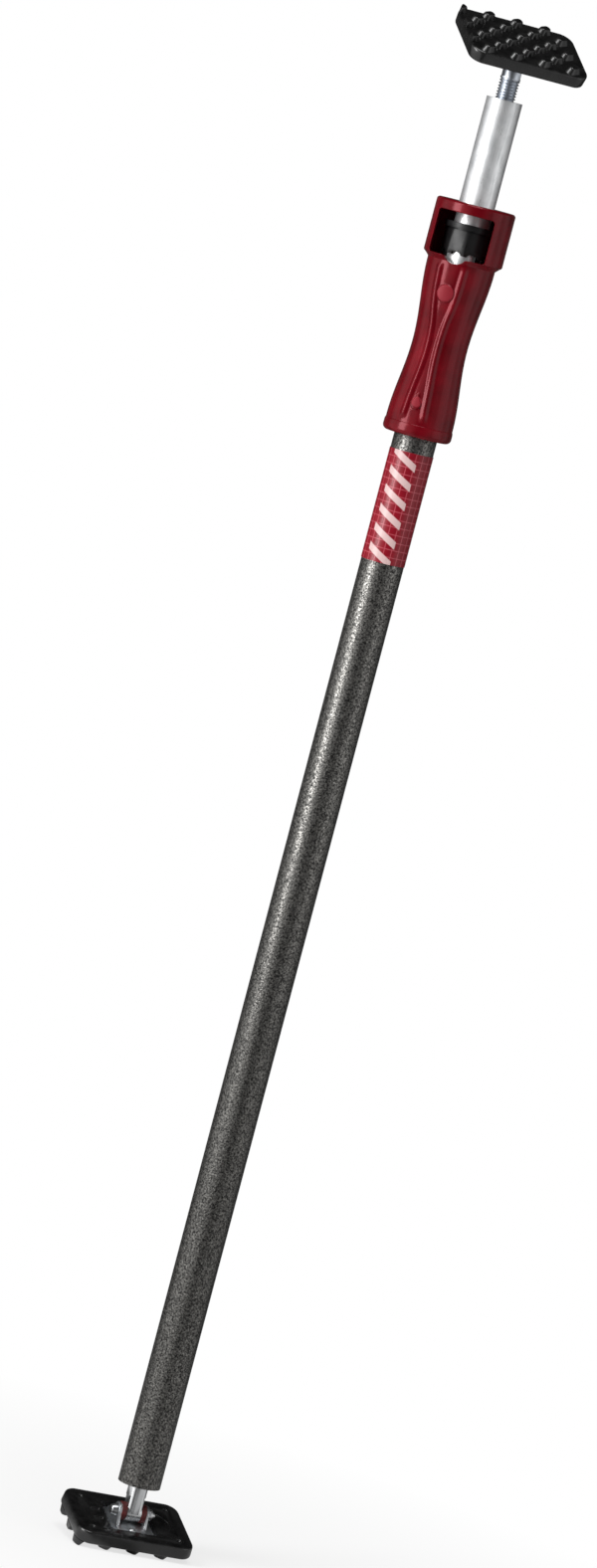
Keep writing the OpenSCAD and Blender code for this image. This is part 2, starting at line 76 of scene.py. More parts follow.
camera = bpy.data.cameras.new("photo_camera")
camera.sensor_width = SENSOR_WIDTH
camera.lens = camera.sensor_width * FOCAL_SHARE
camera_stand = bpy.data.objects.new("photo_camera", camera)
bpy.context.collection.objects.link(camera_stand)
heading = VIEW_AZIMUTH + VIEW_YAW
ahead = Vector((-math.sin(heading) * math.cos(VIEW_PITCH),
                math.cos(heading) * math.cos(VIEW_PITCH), math.sin(VIEW_PITCH)))
level = ahead.cross(Vector((0, 0, 1))).normalized()
upward = level.cross(ahead)
across = math.cos(VIEW_ROLL) * level + math.sin(VIEW_ROLL) * upward
top = math.cos(VIEW_ROLL) * upward - math.sin(VIEW_ROLL) * level
camera_stand.matrix_world = Matrix.Translation(
    (VIEW_DISTANCE * math.sin(VIEW_AZIMUTH), -VIEW_DISTANCE * math.cos(VIEW_AZIMUTH), VIEW_HEIGHT)
) @ Matrix((across, top, -ahead)).transposed().to_4x4()
bpy.context.scene.camera = camera_stand
bpy.context.scene.view_settings.view_transform = "Standard"


# A white studio floor under the foot pad, and a white room behind the pole.
# To the eye both are white. Reflections show a dim room with a broad pale wall to the left of the
# camera and another to its right; the floor still takes the soft shadow of the foot.
FLOOR_SIZE = 60
FLOOR_COLOUR = (0.86, 0.86, 0.855)
ROOM_FILL = 0.3
ROOM_DIM = 0.07
LEFT_WALL, LEFT_SIDE, LEFT_HALF = 0.85, math.radians(-46), math.radians(46)
RIGHT_WALL, RIGHT_SIDE, RIGHT_HALF = 0.42, math.radians(88), math.radians(44)
WALL_EDGE = math.radians(9)
WALL_TOP, CEILING = (0.3, 0.6), 0.25
SHADOW_SHARE = 0.3
SHADOW_CORE, SHADOW_REACH = 0.1, 0.5


def add(tree, kind, feeds=None, **settings):
    """A new node, with its settings, and its inputs set to numbers or linked to sockets."""
    made = tree.nodes.new(kind)
    for name, value in settings.items():
        setattr(made, name, value)
    for socket, value in (feeds or {}).items():
        if isinstance(value, bpy.types.NodeSocket):
            tree.links.new(value, made.inputs[socket])
        else:
            made.inputs[socket].default_value = value
    return made


def spread(tree, value, low, high, to_low=0.0, to_high=1.0):
    """Stretches the part of value between low and high."""
    return add(tree, "ShaderNodeMapRange", {"Value": value, "From Min": low, "From Max": high,
                                            "To Min": to_low, "To Max": to_high}).outputs[0]


def sum_of(tree, operation, *terms):
    """One calculation on numbers or sockets."""
    return add(tree, "ShaderNodeMath", dict(enumerate(terms)), operation=operation).outputs[0]


glow_group = bpy.data.node_groups.new("room_glow", "ShaderNodeTree")
glow_group.interface.new_socket("Direction", in_out="INPUT", socket_type="NodeSocketVector")
glow_group.interface.new_socket("Level", in_out="OUTPUT", socket_type="NodeSocketFloat")
tree = glow_group
given = add(tree, "NodeGroupInput").outputs["Direction"]
toward = add(tree, "ShaderNodeSeparateXYZ", {0: add(
    tree, "ShaderNodeVectorMath", {0: given}, operation="NORMALIZE").outputs[0]}).outputs
side = sum_of(tree, "ARCTAN2", toward["X"], sum_of(tree, "MULTIPLY", toward["Y"], -1.0))
walls = ROOM_DIM
for strength, middle, half_width in ((LEFT_WALL, LEFT_SIDE, LEFT_HALF), (RIGHT_WALL, RIGHT_SIDE, RIGHT_HALF)):
    off = sum_of(tree, "ABSOLUTE", sum_of(tree, "SUBTRACT", side, middle))
    walls = sum_of(tree, "ADD", walls, spread(
        tree, off, half_width - WALL_EDGE, half_width + WALL_EDGE, strength, 0.0))
low = spread(tree, toward["Z"], *WALL_TOP, 1.0, CEILING)
add(tree, "NodeGroupOutput", {0: sum_of(tree, "MULTIPLY", walls, low)})

room = bpy.data.worlds.new("white_room")
bpy.context.scene.world = room
room.use_nodes = True
tree = room.node_tree
tree.nodes.clear()
mirrored = add(tree, "ShaderNodeGroup", {0: add(tree, "ShaderNodeTexCoord").outputs["Generated"]},
               node_tree=glow_group).outputs[0]
rays = add(tree, "ShaderNodeLightPath").outputs
mirror_rays = sum_of(tree, "MAXIMUM", rays["Is Glossy Ray"], rays["Is Transmission Ray"])
dim = add(tree, "ShaderNodeMix", {0: mirror_rays, 2: ROOM_FILL, 3: mirrored}).outputs[0]
seen = add(tree, "ShaderNodeMix", {0: rays["Is Camera Ray"], 2: dim, 3: 1.0}).outputs[0]
add(tree, "ShaderNodeOutputWorld", {"Surface": add(
    tree, "ShaderNodeBackground", {"Color": (1, 1, 1, 1), "Strength": seen}).outputs[0]})

floor_mesh = bpy.data.meshes.new("studio_floor")
half, sole = FLOOR_SIZE / 2, cad_box[0].z
floor_mesh.from_pydata([(-half, -half, sole), (half, -half, sole), (half, half, sole),
                        (-half, half, sole)], [], [(0, 1, 2, 3)])
floor = bpy.data.objects.new("studio_floor", floor_mesh)
bpy.context.collection.objects.link(floor)
paper = bpy.data.materials.new("white_paper")
paper.use_nodes = True
tree = paper.node_tree
tree.nodes.clear()
place = add(tree, "ShaderNodeTexCoord").outputs["Object"]
rays = add(tree, "ShaderNodeLightPath").outputs
away = add(tree, "ShaderNodeVectorMath", {0: place}, operation="LENGTH").outputs["Value"]
shadow = spread(tree, away, SHADOW_CORE, SHADOW_REACH, SHADOW_SHARE, 0.0)
mirrored = add(tree, "ShaderNodeGroup", {0: place}, node_tree=glow_group).outputs[0]
bright = add(tree, "ShaderNodeMix", {0: rays["Is Camera Ray"], 2: mirrored, 3: 1.0}).outputs[0]
glow = add(tree, "ShaderNodeEmission", {"Color": (1, 1, 1, 1), "Strength": bright}).outputs[0]
matt = add(tree, "ShaderNodeBsdfDiffuse", {"Color": (*FLOOR_COLOUR, 1)}).outputs[0]
shaded = add(tree, "ShaderNodeMixShader", {0: shadow, 1: glow, 2: matt}).outputs[0]
mirror_rays = sum_of(tree, "MAXIMUM", rays["Is Glossy Ray"], rays["Is Transmission Ray"])
shown = sum_of(tree, "MAXIMUM", mirror_rays, rays["Is Camera Ray"])
lit = add(tree, "ShaderNodeMixShader", {0: shown, 1: matt, 2: shaded}).outputs[0]
clear = add(tree, "ShaderNodeBsdfTransparent").outputs[0]
under = add(tree, "ShaderNodeNewGeometry").outputs["Backfacing"]
add(tree, "ShaderNodeOutputMaterial", {"Surface": add(
    tree, "ShaderNodeMixShader", {0: under, 1: lit, 2: clear}).outputs[0]})
floor_mesh.materials.append(paper)

# Soft studio lamps: a tall one to the left of the camera, a wide dim one to the right and
# a flat one overhead. Each is a name, its side in degrees, and its distance, height, width,
# length and power.
LAMPS = [("left_softbox", -40, 1.9, 1.1, 0.8, 2.0, 42),
         ("right_bounce", 84, 2.2, 0.9, 1.3, 2.0, 5),
         ("overhead", 10, 0.7, 2.5, 1.0, 1.0, 20)]
LAMP_AIM = Vector((0, 0, 0.6))
for name, side, reach, height, width, length, power in LAMPS:
    softbox = bpy.data.lights.new(name, "AREA")
    softbox.shape = "RECTANGLE"
    softbox.size, softbox.size_y = width, length
    softbox.energy = power
    stand = bpy.data.objects.new(name, softbox)
    bpy.context.collection.objects.link(stand)
    side = math.radians(side)
    stand.location = (reach * math.sin(side), -reach * math.cos(side), height)
    stand.rotation_euler = (LAMP_AIM - stand.location).to_track_quat("-Z", "Y").to_euler()


# The outer tube is a steel tube, sprayed with dark grey hammer enamel.
# The enamel draws itself into small pale flecks with dark hollows between them.
ENAMEL_DARK = (0.010, 0.010, 0.0098)
ENAMEL_PALE = (0.36, 0.35, 0.33)
ENAMEL_FLECK, FLECK_DETAIL, FLECK_EDGE = 0.95 * MM, 5.0, 0.72
ENAMEL_DEPTH, ENAMEL_RELIEF = 0.12 * MM, 0.55
CLUMPED, HOLLOWED, HOLLOW_TONE = (0.40, 0.62), (0.1, 0.75), 0.25
ENAMEL_METAL = 0.8
CLUMP_SIZE = 0.7
DARK_ROUGH, PALE_ROUGH = 0.4, 0.22
TUBE_RIM = 0.35 * MM
MERGE_WITHIN, FLAT_WITHIN = 0.001 * MM, math.radians(0.5)
ROUNDING_STEPS = 2


def new_finish(name, colour, roughness, metallic=0.0):
    """A material with one Principled shader; its plain colour and numbers sit on its own sockets."""
    finish = bpy.data.materials.new(name)
    finish.use_nodes = True
    shader = finish.node_tree.nodes["Principled BSDF"]
    shader.inputs["Base Color"].default_value = (*colour, 1)
    shader.inputs["Roughness"].default_value = roughness
    shader.inputs["Metallic"].default_value = metallic
    return finish, finish.node_tree, shader


def colour_between(tree, share, dark, pale):
    """A colour that runs from dark, a colour or a socket, to pale as share runs from 0 to 1."""
    dark = dark if isinstance(dark, bpy.types.NodeSocket) else (*dark, 1)
    return add(tree, "ShaderNodeMix", {0: share, 6: dark, 7: (*pale, 1)},
               data_type="RGBA").outputs[2]


def coat(finish, *nodes):
    """Gives CAD nodes their finish."""
    for name in nodes:
        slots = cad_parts[name].data.materials
        slots.clear()
        slots.append(finish)


def new_piece(name, mesh, finish, body, *nodes, sharp=35):
    """A finished piece in place of CAD nodes, smooth but for its sharp edges."""
    mesh.polygons.foreach_set("use_smooth", [True] * len(mesh.polygons))
    mesh.set_sharp_from_angle(angle=math.radians(sharp))
    mesh.materials.clear()
    mesh.materials.append(finish)
    piece = bpy.data.objects.new(name, mesh)
    bpy.context.collection.objects.link(piece)
    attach(piece, body)
    if nodes:
        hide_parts(*nodes)
    return piece


def baked(piece):
    """A plain mesh with the piece's modifiers in it."""
    bpy.context.view_layer.update()
    return bpy.data.meshes.new_from_object(piece.evaluated_get(bpy.context.evaluated_depsgraph_get()))


def merged_copy(node):
    """A copy of a CAD node with its loose triangles joined and its flat faces whole."""
    shape = bmesh.new()
    shape.from_mesh(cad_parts[node].data)
    bmesh.ops.remove_doubles(shape, verts=shape.verts, dist=MERGE_WITHIN)
    bmesh.ops.dissolve_limit(shape, angle_limit=FLAT_WITHIN, verts=shape.verts, edges=shape.edges)
    return shape


def plain_mesh(name, *shapes):
    """One mesh from several shapes, without the CAD node's own normals."""
    together = bmesh.new()
    for shape in shapes:
        if isinstance(shape, bmesh.types.BMesh):
            part = bpy.data.meshes.new("part")
            shape.to_mesh(part)
            shape.free()
        else:
            part = shape
        together.from_mesh(part)
    mesh = bpy.data.meshes.new(name)
    together.to_mesh(mesh)
    together.free()
    if mesh.attributes.get("custom_normal"):
        mesh.attributes.remove(mesh.attributes["custom_normal"])
    return mesh


def rounded_over(mesh, width, sharp):
    """The mesh with its sharp edges rounded over."""
    piece = bpy.data.objects.new("rounded_over", mesh)
    bpy.context.collection.objects.link(piece)
    ease = piece.modifiers.new("ease", "BEVEL")
    ease.width, ease.segments = width, ROUNDING_STEPS
    ease.limit_method, ease.angle_limit = "ANGLE", math.radians(sharp)
    rounded = baked(piece)
    bpy.data.objects.remove(piece)
    return rounded


def softened(node, finish, body, width, sharp=40):
    """A CAD node with its sharp edges rounded over."""
    name = node + "_finished"
    mesh = rounded_over(plain_mesh(name, merged_copy(node)), width, sharp)
    return new_piece(name, mesh, finish, body, node, sharp=sharp)


enamel, tree, shader = new_finish("hammer_enamel", ENAMEL_DARK, DARK_ROUGH, ENAMEL_METAL)
place = add(tree, "ShaderNodeTexCoord").outputs["Object"]
hollows = add(tree, "ShaderNodeTexVoronoi", {"Vector": place, "Scale": 1 / ENAMEL_FLECK},
              feature="SMOOTH_F1").outputs["Distance"]
flecks = add(tree, "ShaderNodeTexNoise", {"Vector": place, "Scale": CLUMP_SIZE / ENAMEL_FLECK,
                                          "Detail": FLECK_DETAIL, "Roughness": FLECK_EDGE}).outputs[0]
mottle = sum_of(tree, "MULTIPLY", spread(tree, flecks, *CLUMPED),
                spread(tree, hollows, *HOLLOWED, 1.0, HOLLOW_TONE))
tree.links.new(colour_between(tree, mottle, ENAMEL_DARK, ENAMEL_PALE), shader.inputs["Base Color"])
tree.links.new(spread(tree, mottle, 0, 1, DARK_ROUGH, PALE_ROUGH), shader.inputs["Roughness"])
tree.links.new(add(tree, "ShaderNodeBump", {"Height": hollows, "Strength": ENAMEL_RELIEF,
                                            "Distance": ENAMEL_DEPTH}).outputs[0],
               shader.inputs["Normal"])
softened("outer_tube", enamel, "barrel", TUBE_RIM)


# A printed plastic sleeve is shrunk round the tube under the handle.
# It is crimson, with a fine pale grid and plain slanted bars where a print would be.
SLEEVE_RED = (0.26, 0.003, 0.014)
SLEEVE_DEEP = (0.16, 0.0015, 0.008)
SLEEVE_PALE = (0.42, 0.07, 0.09)
SLEEVE_BAR = (0.60, 0.42, 0.41)
GRID_STEP = 5.2 * MM
GRID_LINE = 0.06
BAR_STEP = 13.5 * MM
BAR_SHARE = 0.34
BAR_SLANT = 0.55
BAR_HALF_LENGTH = 9 * MM
BAR_EDGE, STRIPE_EDGE = 0.3 * MM, 0.04
INK_PATCHES = 90.0
SLEEVE_ROUGH, SLEEVE_SHINE = 0.3, 0.35

sleeve_low, sleeve_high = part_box("band")
sleeve_middle = (sleeve_low + sleeve_high) / 2
sleeve_radius = (sleeve_high.x - sleeve_low.x) / 2
sleeve, tree, shader = new_finish("printed_sleeve", SLEEVE_RED, SLEEVE_ROUGH)
place = add(tree, "ShaderNodeTexCoord").outputs["Object"]
axes = add(tree, "ShaderNodeSeparateXYZ", {0: place}).outputs
angle = sum_of(tree, "ARCTAN2", axes["X"], sum_of(tree, "MULTIPLY", axes["Y"], -1.0))
around = sum_of(tree, "MULTIPLY", angle, sleeve_radius)
along = sum_of(tree, "ADD", axes["Z"], -sleeve_middle.z)


def stripes(tree, value, step, share):
    """1 on stripes across value, each a share of the step wide, and 0 between them."""
    part = sum_of(tree, "FRACT", sum_of(tree, "MULTIPLY", value, 1 / step))
    away = sum_of(tree, "ABSOLUTE", sum_of(tree, "ADD", part, -0.5))
    return spread(tree, away, share / 2, share / 2 + STRIPE_EDGE, 1.0, 0.0)


grid = sum_of(tree, "MAXIMUM", stripes(tree, around, GRID_STEP, GRID_LINE),
              stripes(tree, along, GRID_STEP, GRID_LINE))
slant = sum_of(tree, "MULTIPLY_ADD", around, BAR_SLANT, along)
bar_side = sum_of(tree, "ABSOLUTE", around)
bars = sum_of(tree, "MULTIPLY", stripes(tree, slant, BAR_STEP, BAR_SHARE),
              spread(tree, bar_side, BAR_HALF_LENGTH, BAR_HALF_LENGTH + BAR_EDGE, 1.0, 0.0))
patches = add(tree, "ShaderNodeTexNoise", {"Vector": place, "Scale": INK_PATCHES, "Detail": 2.0}).outputs[0]
inked = colour_between(tree, patches, SLEEVE_DEEP, SLEEVE_RED)
gridded = colour_between(tree, grid, inked, SLEEVE_PALE)
tree.links.new(colour_between(tree, bars, gridded, SLEEVE_BAR), shader.inputs["Base Color"])
shader.inputs["Specular IOR Level"].default_value = SLEEVE_SHINE
coat(sleeve, "band")


# The handle is a thick moulding of glossy crimson plastic, pinned to the tube from behind.
# Two ridges run down the front of its grip, round a flat boss, and a thumb window opens its collar.
HANDLE_RED = (0.14, 0.0017, 0.006)
HANDLE_DEEP = (0.08, 0.0009, 0.0032)
HANDLE_SHEEN = (1.0, 0.38, 0.42)
HANDLE_MATT = (0.185, 0.011, 0.018)
HANDLE_HEIGHT = 162 * MM
BEAD_HEIGHT, BEAD_ROUND, BEAD_OUT = 9 * MM, 3.4 * MM, 0.6 * MM
COLLAR_FOOT, COLLAR_RADIUS, COLLAR_ROUND = 121 * MM, 27.5 * MM, 2 * MM
COLLAR_SLOPE = 3.6 * MM
WAIST_AT, WAIST_RADIUS = 64.13 * MM, 19.05 * MM
GRIP_TOP_RADIUS, GRIP_FOOT_RADIUS = 23.5 * MM, 23.35 * MM
TUBE_BORE, TUBE_STOP = 15.02 * MM, 85.5 * MM
LIP_BORE, CONE_FLOOR, CONE_BORE = 12.8 * MM, 88.5 * MM, 17.52 * MM
CAP_FOOT, CAP_BORE = 118.5 * MM, 18.52 * MM
WINDOW_FOOT, WINDOW_TOP, WINDOW_HALF = 124.4 * MM, 154.6 * MM, 20 * MM
CHAMBER_RADIUS, TOP_BORE = 24.3 * MM, 12.58 * MM
RIDGE_SPREADS = [(0.0, 7.8), (0.03, 7.4), (0.2, 6.0), (0.37, 4.0), (0.5, 3.6), (0.63, 4.6),
                 (0.72, 6.6), (0.82, 8.0), (0.94, 8.6), (1.0, 8.8)]
RIDGE_WIDTH, RIDGE_PROUD = 6.6 * MM, 1.3 * MM
BOSS_AT, BOSS_RADIUS, BOSS_PROUD = 99.5 * MM, 6 * MM, 1.2 * MM
DROP_AT, DROP_RADIUS, DROP_LENGTH, DROP_PROUD = 22 * MM, 3.6 * MM, 7 * MM, 0.8 * MM
MARK_EDGE, MARK_FADE = 1.2 * MM, 0.3 * MM
NOTCH_RADIUS, NOTCH_AT = 9.5 * MM, 129.5 * MM
NOTCH_LIP, NOTCH_MARGIN = 9.2 * MM, 3
WINDOW_ROUND, WINDOW_EASE = 2 * MM, 0.7 * MM
WINDOW_DEPTH, WINDOW_CLEAR = 5 * MM, 40 * MM
CORNER_STEPS, EDGE_STEPS, SILL_STEPS, NOTCH_STEPS = 6, 12, 5, 24
PIN_HEIGHTS, PIN_HOLE_RADIUS = (22 * MM, 60 * MM), 2.5 * MM
PIN_CUT_SIDES, PIN_CUT_LENGTH, PIN_CUT_BACK = 48, 30 * MM, 28 * MM
GRIP_ROWS, FRONT_ARC, FRONT_STEPS, BACK_STEPS = 210, 33, 120, 84
FRONT_FACING = 0.7
RIDGE_BLEND, RIDGE_FADES = 0.04, (0.06, 0.05)
DROP_NARROWS, MARK_SPREAD = 0.85, 0.5 * MM
COLLAR_BULGE = 0.15
TOP_EASE = 0.5 * MM
COLLAR_HEM = 0.7 * MM
HANDLE_SMOOTH, HANDLE_DULL, MATT_DULL, HANDLE_SHINE = 0.15, 0.24, 0.2, 0.42
PATCHED = (0.3, 0.7)
HANDLE_GRAIN, HANDLE_WAVE = (0.6 * MM, 0.006 * MM), (16 * MM, 0.12 * MM)

handle_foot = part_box("handle")[0].z


def eased(share):
    """A share that starts and stops gently."""
    share = min(max(share, 0.0), 1.0)
    return share * share * (3 - 2 * share)


def grip_radius(height):
    """The waisted grip between the bead at its foot and the collar."""
    if height < WAIST_AT:
        rise = (1 - math.cos(math.pi * (WAIST_AT - height) / (WAIST_AT - BEAD_HEIGHT))) / 2
        return WAIST_RADIUS + (GRIP_FOOT_RADIUS - WAIST_RADIUS) * rise
    rise = (1 - math.cos(math.pi * (height - WAIST_AT) / (COLLAR_FOOT - WAIST_AT))) / 2
    return WAIST_RADIUS + (GRIP_TOP_RADIUS - WAIST_RADIUS) * rise


def ridge_spread(share):
    """Half the distance between the two ridges, at a share of the grip's length."""
    for (low, near), (high, far) in zip(RIDGE_SPREADS, RIDGE_SPREADS[1:]):
        if share <= high:
            return (near + (far - near) * (share - low) / (high - low)) * MM
    return RIDGE_SPREADS[-1][1] * MM


def handle_relief(side, height):
    """How far the front of the grip stands proud of its round form, at a place on it."""
    share = (height - BEAD_HEIGHT) / (COLLAR_FOOT - BEAD_HEIGHT)
    if not 0 < share < 1:
        return 0.0
    ridge = 0.0
    for hand in (-1, 1):
        middle = sum(ridge_spread(share + step) for step in (-RIDGE_BLEND, 0, RIDGE_BLEND)) / 3
        off = abs(side - hand * middle)
        if off < RIDGE_WIDTH / 2:
            ridge = RIDGE_PROUD * (1 + math.cos(2 * math.pi * off / RIDGE_WIDTH)) / 2
    ridge *= eased(share / RIDGE_FADES[0]) * eased((1 - share) / RIDGE_FADES[1])
    boss_edge = BOSS_RADIUS + MARK_SPREAD
    boss = BOSS_PROUD * eased((boss_edge - math.hypot(side, height - BOSS_AT)) / MARK_EDGE)
    up = min(max(height - DROP_AT, 0.0), DROP_LENGTH)
    drop_edge = DROP_RADIUS * (1 - DROP_NARROWS * up / DROP_LENGTH) + MARK_SPREAD
    drop = DROP_PROUD * eased((drop_edge - math.hypot(side, height - DROP_AT - up)) / MARK_EDGE)
    return max(ridge, boss, drop)


def quarter(middle, radius, start, steps=8):
    """Points round a quarter circle in a profile, from an angle in degrees."""
    return [(middle[0] + radius * math.cos(math.radians(start + 90 * k / steps)),
             middle[1] + radius * math.sin(math.radians(start + 90 * k / steps)))
            for k in range(steps + 1)]


BEAD_RADIUS = GRIP_FOOT_RADIUS + BEAD_OUT
outside = [(TUBE_BORE, 0.0)]
outside += quarter((BEAD_RADIUS - BEAD_ROUND, BEAD_ROUND), BEAD_ROUND, -90)
outside += [(BEAD_RADIUS - BEAD_OUT * (1 - math.cos(math.radians(a))),
             BEAD_HEIGHT - BEAD_ROUND + (BEAD_ROUND - BEAD_OUT) * math.sin(math.radians(a)))
            for a in range(10, 91, 10)]
outside += [(grip_radius(h), h) for h in
            [BEAD_HEIGHT + (COLLAR_FOOT - BEAD_HEIGHT) * k / GRIP_ROWS for k in range(GRIP_ROWS + 1)]]
slope_end = COLLAR_FOOT + COLLAR_SLOPE
outside += [(GRIP_TOP_RADIUS + (COLLAR_RADIUS - GRIP_TOP_RADIUS) * t,
             COLLAR_FOOT + COLLAR_SLOPE * ((1 + COLLAR_BULGE) * t - COLLAR_BULGE * t * t * t))
            for t in (0.1, 0.35, 0.65, 0.85, 0.95)]
outside += [(COLLAR_RADIUS, slope_end + COLLAR_HEM), (COLLAR_RADIUS, WINDOW_TOP)]
outside += quarter((COLLAR_RADIUS - COLLAR_ROUND, HANDLE_HEIGHT - COLLAR_ROUND), COLLAR_ROUND, 0)
inside = [(TOP_BORE + TOP_EASE, HANDLE_HEIGHT), (TOP_BORE, HANDLE_HEIGHT - TOP_EASE), (TOP_BORE, WINDOW_TOP),
          (CHAMBER_RADIUS, WINDOW_TOP), (CHAMBER_RADIUS, WINDOW_FOOT), (CAP_BORE, WINDOW_FOOT),
          (CAP_BORE, CAP_FOOT), (CONE_BORE, CAP_FOOT), (CONE_BORE, CONE_FLOOR), (LIP_BORE, CONE_FLOOR),
          (LIP_BORE, TUBE_STOP), (TUBE_BORE, TUBE_STOP)]
front_angles = [(2 * k / FRONT_STEPS - 1) * FRONT_ARC for k in range(FRONT_STEPS + 1)]
back_angles = [FRONT_ARC + (360 - 2 * FRONT_ARC) * k / BACK_STEPS for k in range(1, BACK_STEPS)]
around = [math.radians(a) for a in front_angles + back_angles]


def lathed(name, profile, angles, foot, relief):
    """A closed mesh turned round the pole's axis from a closed profile, with relief on its front."""
    points, faces = [], []
    for angle in angles:
        for k, (radius, height) in enumerate(profile):
            side = radius * math.sin(angle)
            proud = relief(side, height) if math.cos(angle) > FRONT_FACING and k < len(outside) else 0.0
            points.append(((radius + proud) * math.sin(angle), -(radius + proud) * math.cos(angle),
                           foot + height))
    rows, columns = len(profile), len(angles)
    for c in range(columns):
        for r in range(rows):
            a, b = c * rows + r, ((c + 1) % columns) * rows + r
            faces.append((a, b, b - r + (r + 1) % rows, a - r + (r + 1) % rows))
    mesh = bpy.data.meshes.new(name)
    mesh.from_pydata(points, [], faces)
    return mesh


def changed_by(mesh, tool_mesh, operation):
    """The mesh after a cut by, or its overlap with, another."""
    body = bpy.data.objects.new("cut_body", mesh)
    tool = bpy.data.objects.new("cutter", tool_mesh)
    for piece in (body, tool):
        bpy.context.collection.objects.link(piece)
    change = body.modifiers.new("cut", "BOOLEAN")
    change.operation, change.solver, change.object = operation, "EXACT", tool
    result = baked(body)
    for piece in (body, tool):
        bpy.data.objects.remove(piece)
    return result


def collar_front(side, height):
    """How far the collar's outside stands from the axis, towards the front."""
    radius = COLLAR_RADIUS if height > slope_end else grip_radius(COLLAR_FOOT) + (
        COLLAR_RADIUS - GRIP_TOP_RADIUS) * max(height - COLLAR_FOOT, 0) / COLLAR_SLOPE
    return math.sqrt(max(radius ** 2 - side ** 2, 0.0))


# The window's outline, with its round notch for the thumb, and its edge eased over outwards.
notch_start = math.degrees(math.asin((NOTCH_AT - WINDOW_FOOT) / NOTCH_RADIUS))
outline = []
for corner_x, corner_z, start in ((WINDOW_HALF, WINDOW_FOOT, 270), (WINDOW_HALF, WINDOW_TOP, 0),
                                  (-WINDOW_HALF, WINDOW_TOP, 90), (-WINDOW_HALF, WINDOW_FOOT, 180)):
    middle = (corner_x - math.copysign(WINDOW_ROUND, corner_x),
              corner_z + (WINDOW_ROUND if corner_z == WINDOW_FOOT else -WINDOW_ROUND))
    corner = quarter(middle, WINDOW_ROUND, start, CORNER_STEPS)
    if outline:
        last, first = outline[-1], corner[0]
        outline += [(last[0] + (first[0] - last[0]) * k / EDGE_STEPS,
                     last[1] + (first[1] - last[1]) * k / EDGE_STEPS) for k in range(1, EDGE_STEPS)]
    outline += corner
notch_start += NOTCH_MARGIN
sill = WINDOW_HALF - WINDOW_ROUND - NOTCH_LIP
outline += [(-WINDOW_HALF + WINDOW_ROUND + sill * k / SILL_STEPS, WINDOW_FOOT)
            for k in range(1, SILL_STEPS + 1)]
for k in range(NOTCH_STEPS + 1):
    a = math.radians(180 + notch_start + (180 - 2 * notch_start) * k / NOTCH_STEPS)
    outline.append((NOTCH_RADIUS * math.cos(a), NOTCH_AT + NOTCH_RADIUS * math.sin(a)))
outline += [(NOTCH_LIP + sill * k / SILL_STEPS, WINDOW_FOOT) for k in range(SILL_STEPS)]
count = len(outline)
outward = []
for k in range(count):
    ahead_point, back_point = outline[(k + 1) % count], outline[k - 1]
    run = Vector((ahead_point[0] - back_point[0], ahead_point[1] - back_point[1])).normalized()
    outward.append((run.y, -run.x))
cutter_rings = [(0.0, None, -WINDOW_DEPTH)]
cutter_rings += [(WINDOW_EASE * (1 - math.cos(math.radians(a))),
                  WINDOW_EASE * (1 - math.sin(math.radians(a))), None) for a in (0, 22, 45, 68, 90)]
cutter_rings += [(WINDOW_EASE, None, -WINDOW_CLEAR)]
points, faces = [], []
for out, depth, flat in cutter_rings:
    for (x, z), (nx, nz) in zip(outline, outward):
        x, z = x + out * nx, z + out * nz
        points.append((x, flat if flat else depth - collar_front(x, z), handle_foot + z))
for ring in range(len(cutter_rings) - 1):
    for k in range(count):
        a, b = ring * count + k, ring * count + (k + 1) % count
        faces.append((a, b, b + count, a + count))
faces.append(tuple(reversed(range(count))))
faces.append(tuple(range(len(points) - count, len(points))))
window_cutter = bpy.data.meshes.new("window_cutter")
window_cutter.from_pydata(points, [], faces)
cutting = bmesh.new()
cutting.from_mesh(window_cutter)
for height in PIN_HEIGHTS:
    bmesh.ops.create_cone(
        cutting, cap_ends=True, segments=PIN_CUT_SIDES, radius1=PIN_HOLE_RADIUS, radius2=PIN_HOLE_RADIUS,
        depth=PIN_CUT_LENGTH, matrix=Matrix.Translation((0, PIN_CUT_BACK, handle_foot + height))
        @ Matrix.Rotation(math.pi / 2, 4, "X"))
bmesh.ops.recalc_face_normals(cutting, faces=cutting.faces)
cutting.to_mesh(window_cutter)
cutting.free()

crimson, tree, shader = new_finish("crimson_plastic", HANDLE_RED, HANDLE_DULL)
shader.inputs["Specular IOR Level"].default_value = HANDLE_SHINE
shader.inputs["Specular Tint"].default_value = (*HANDLE_SHEEN, 1)


def new_effect(name, inputs, outputs):
    """A shader node group with named inputs and outputs, for more than one finish."""
    group = bpy.data.node_groups.new(name, "ShaderNodeTree")
    for socket, start in inputs.items():
        made = group.interface.new_socket(socket, in_out="INPUT", socket_type="NodeSocketFloat")
        made.default_value = start
    for socket, kind in outputs.items():
        group.interface.new_socket(socket, in_out="OUTPUT", socket_type=kind)
    return group, add(group, "NodeGroupInput").outputs, add(group, "NodeGroupOutput").inputs


def use_effect(tree, effect, **values):
    """The outputs of a shader node group, with values for some of its inputs."""
    made = add(tree, "ShaderNodeGroup", node_tree=effect)
    for socket, value in values.items():
        made.inputs[socket.replace("_", " ")].default_value = value
    return made.outputs


moulded, given, result = new_effect(
    "moulded_skin",
    {"Grain": 0.5 * MM, "Grain depth": 0.01 * MM, "Wave": 14 * MM, "Wave depth": 0.1 * MM},
    {"Patch": "NodeSocketFloat", "Normal": "NodeSocketVector"})
place = add(moulded, "ShaderNodeTexCoord").outputs["Object"]


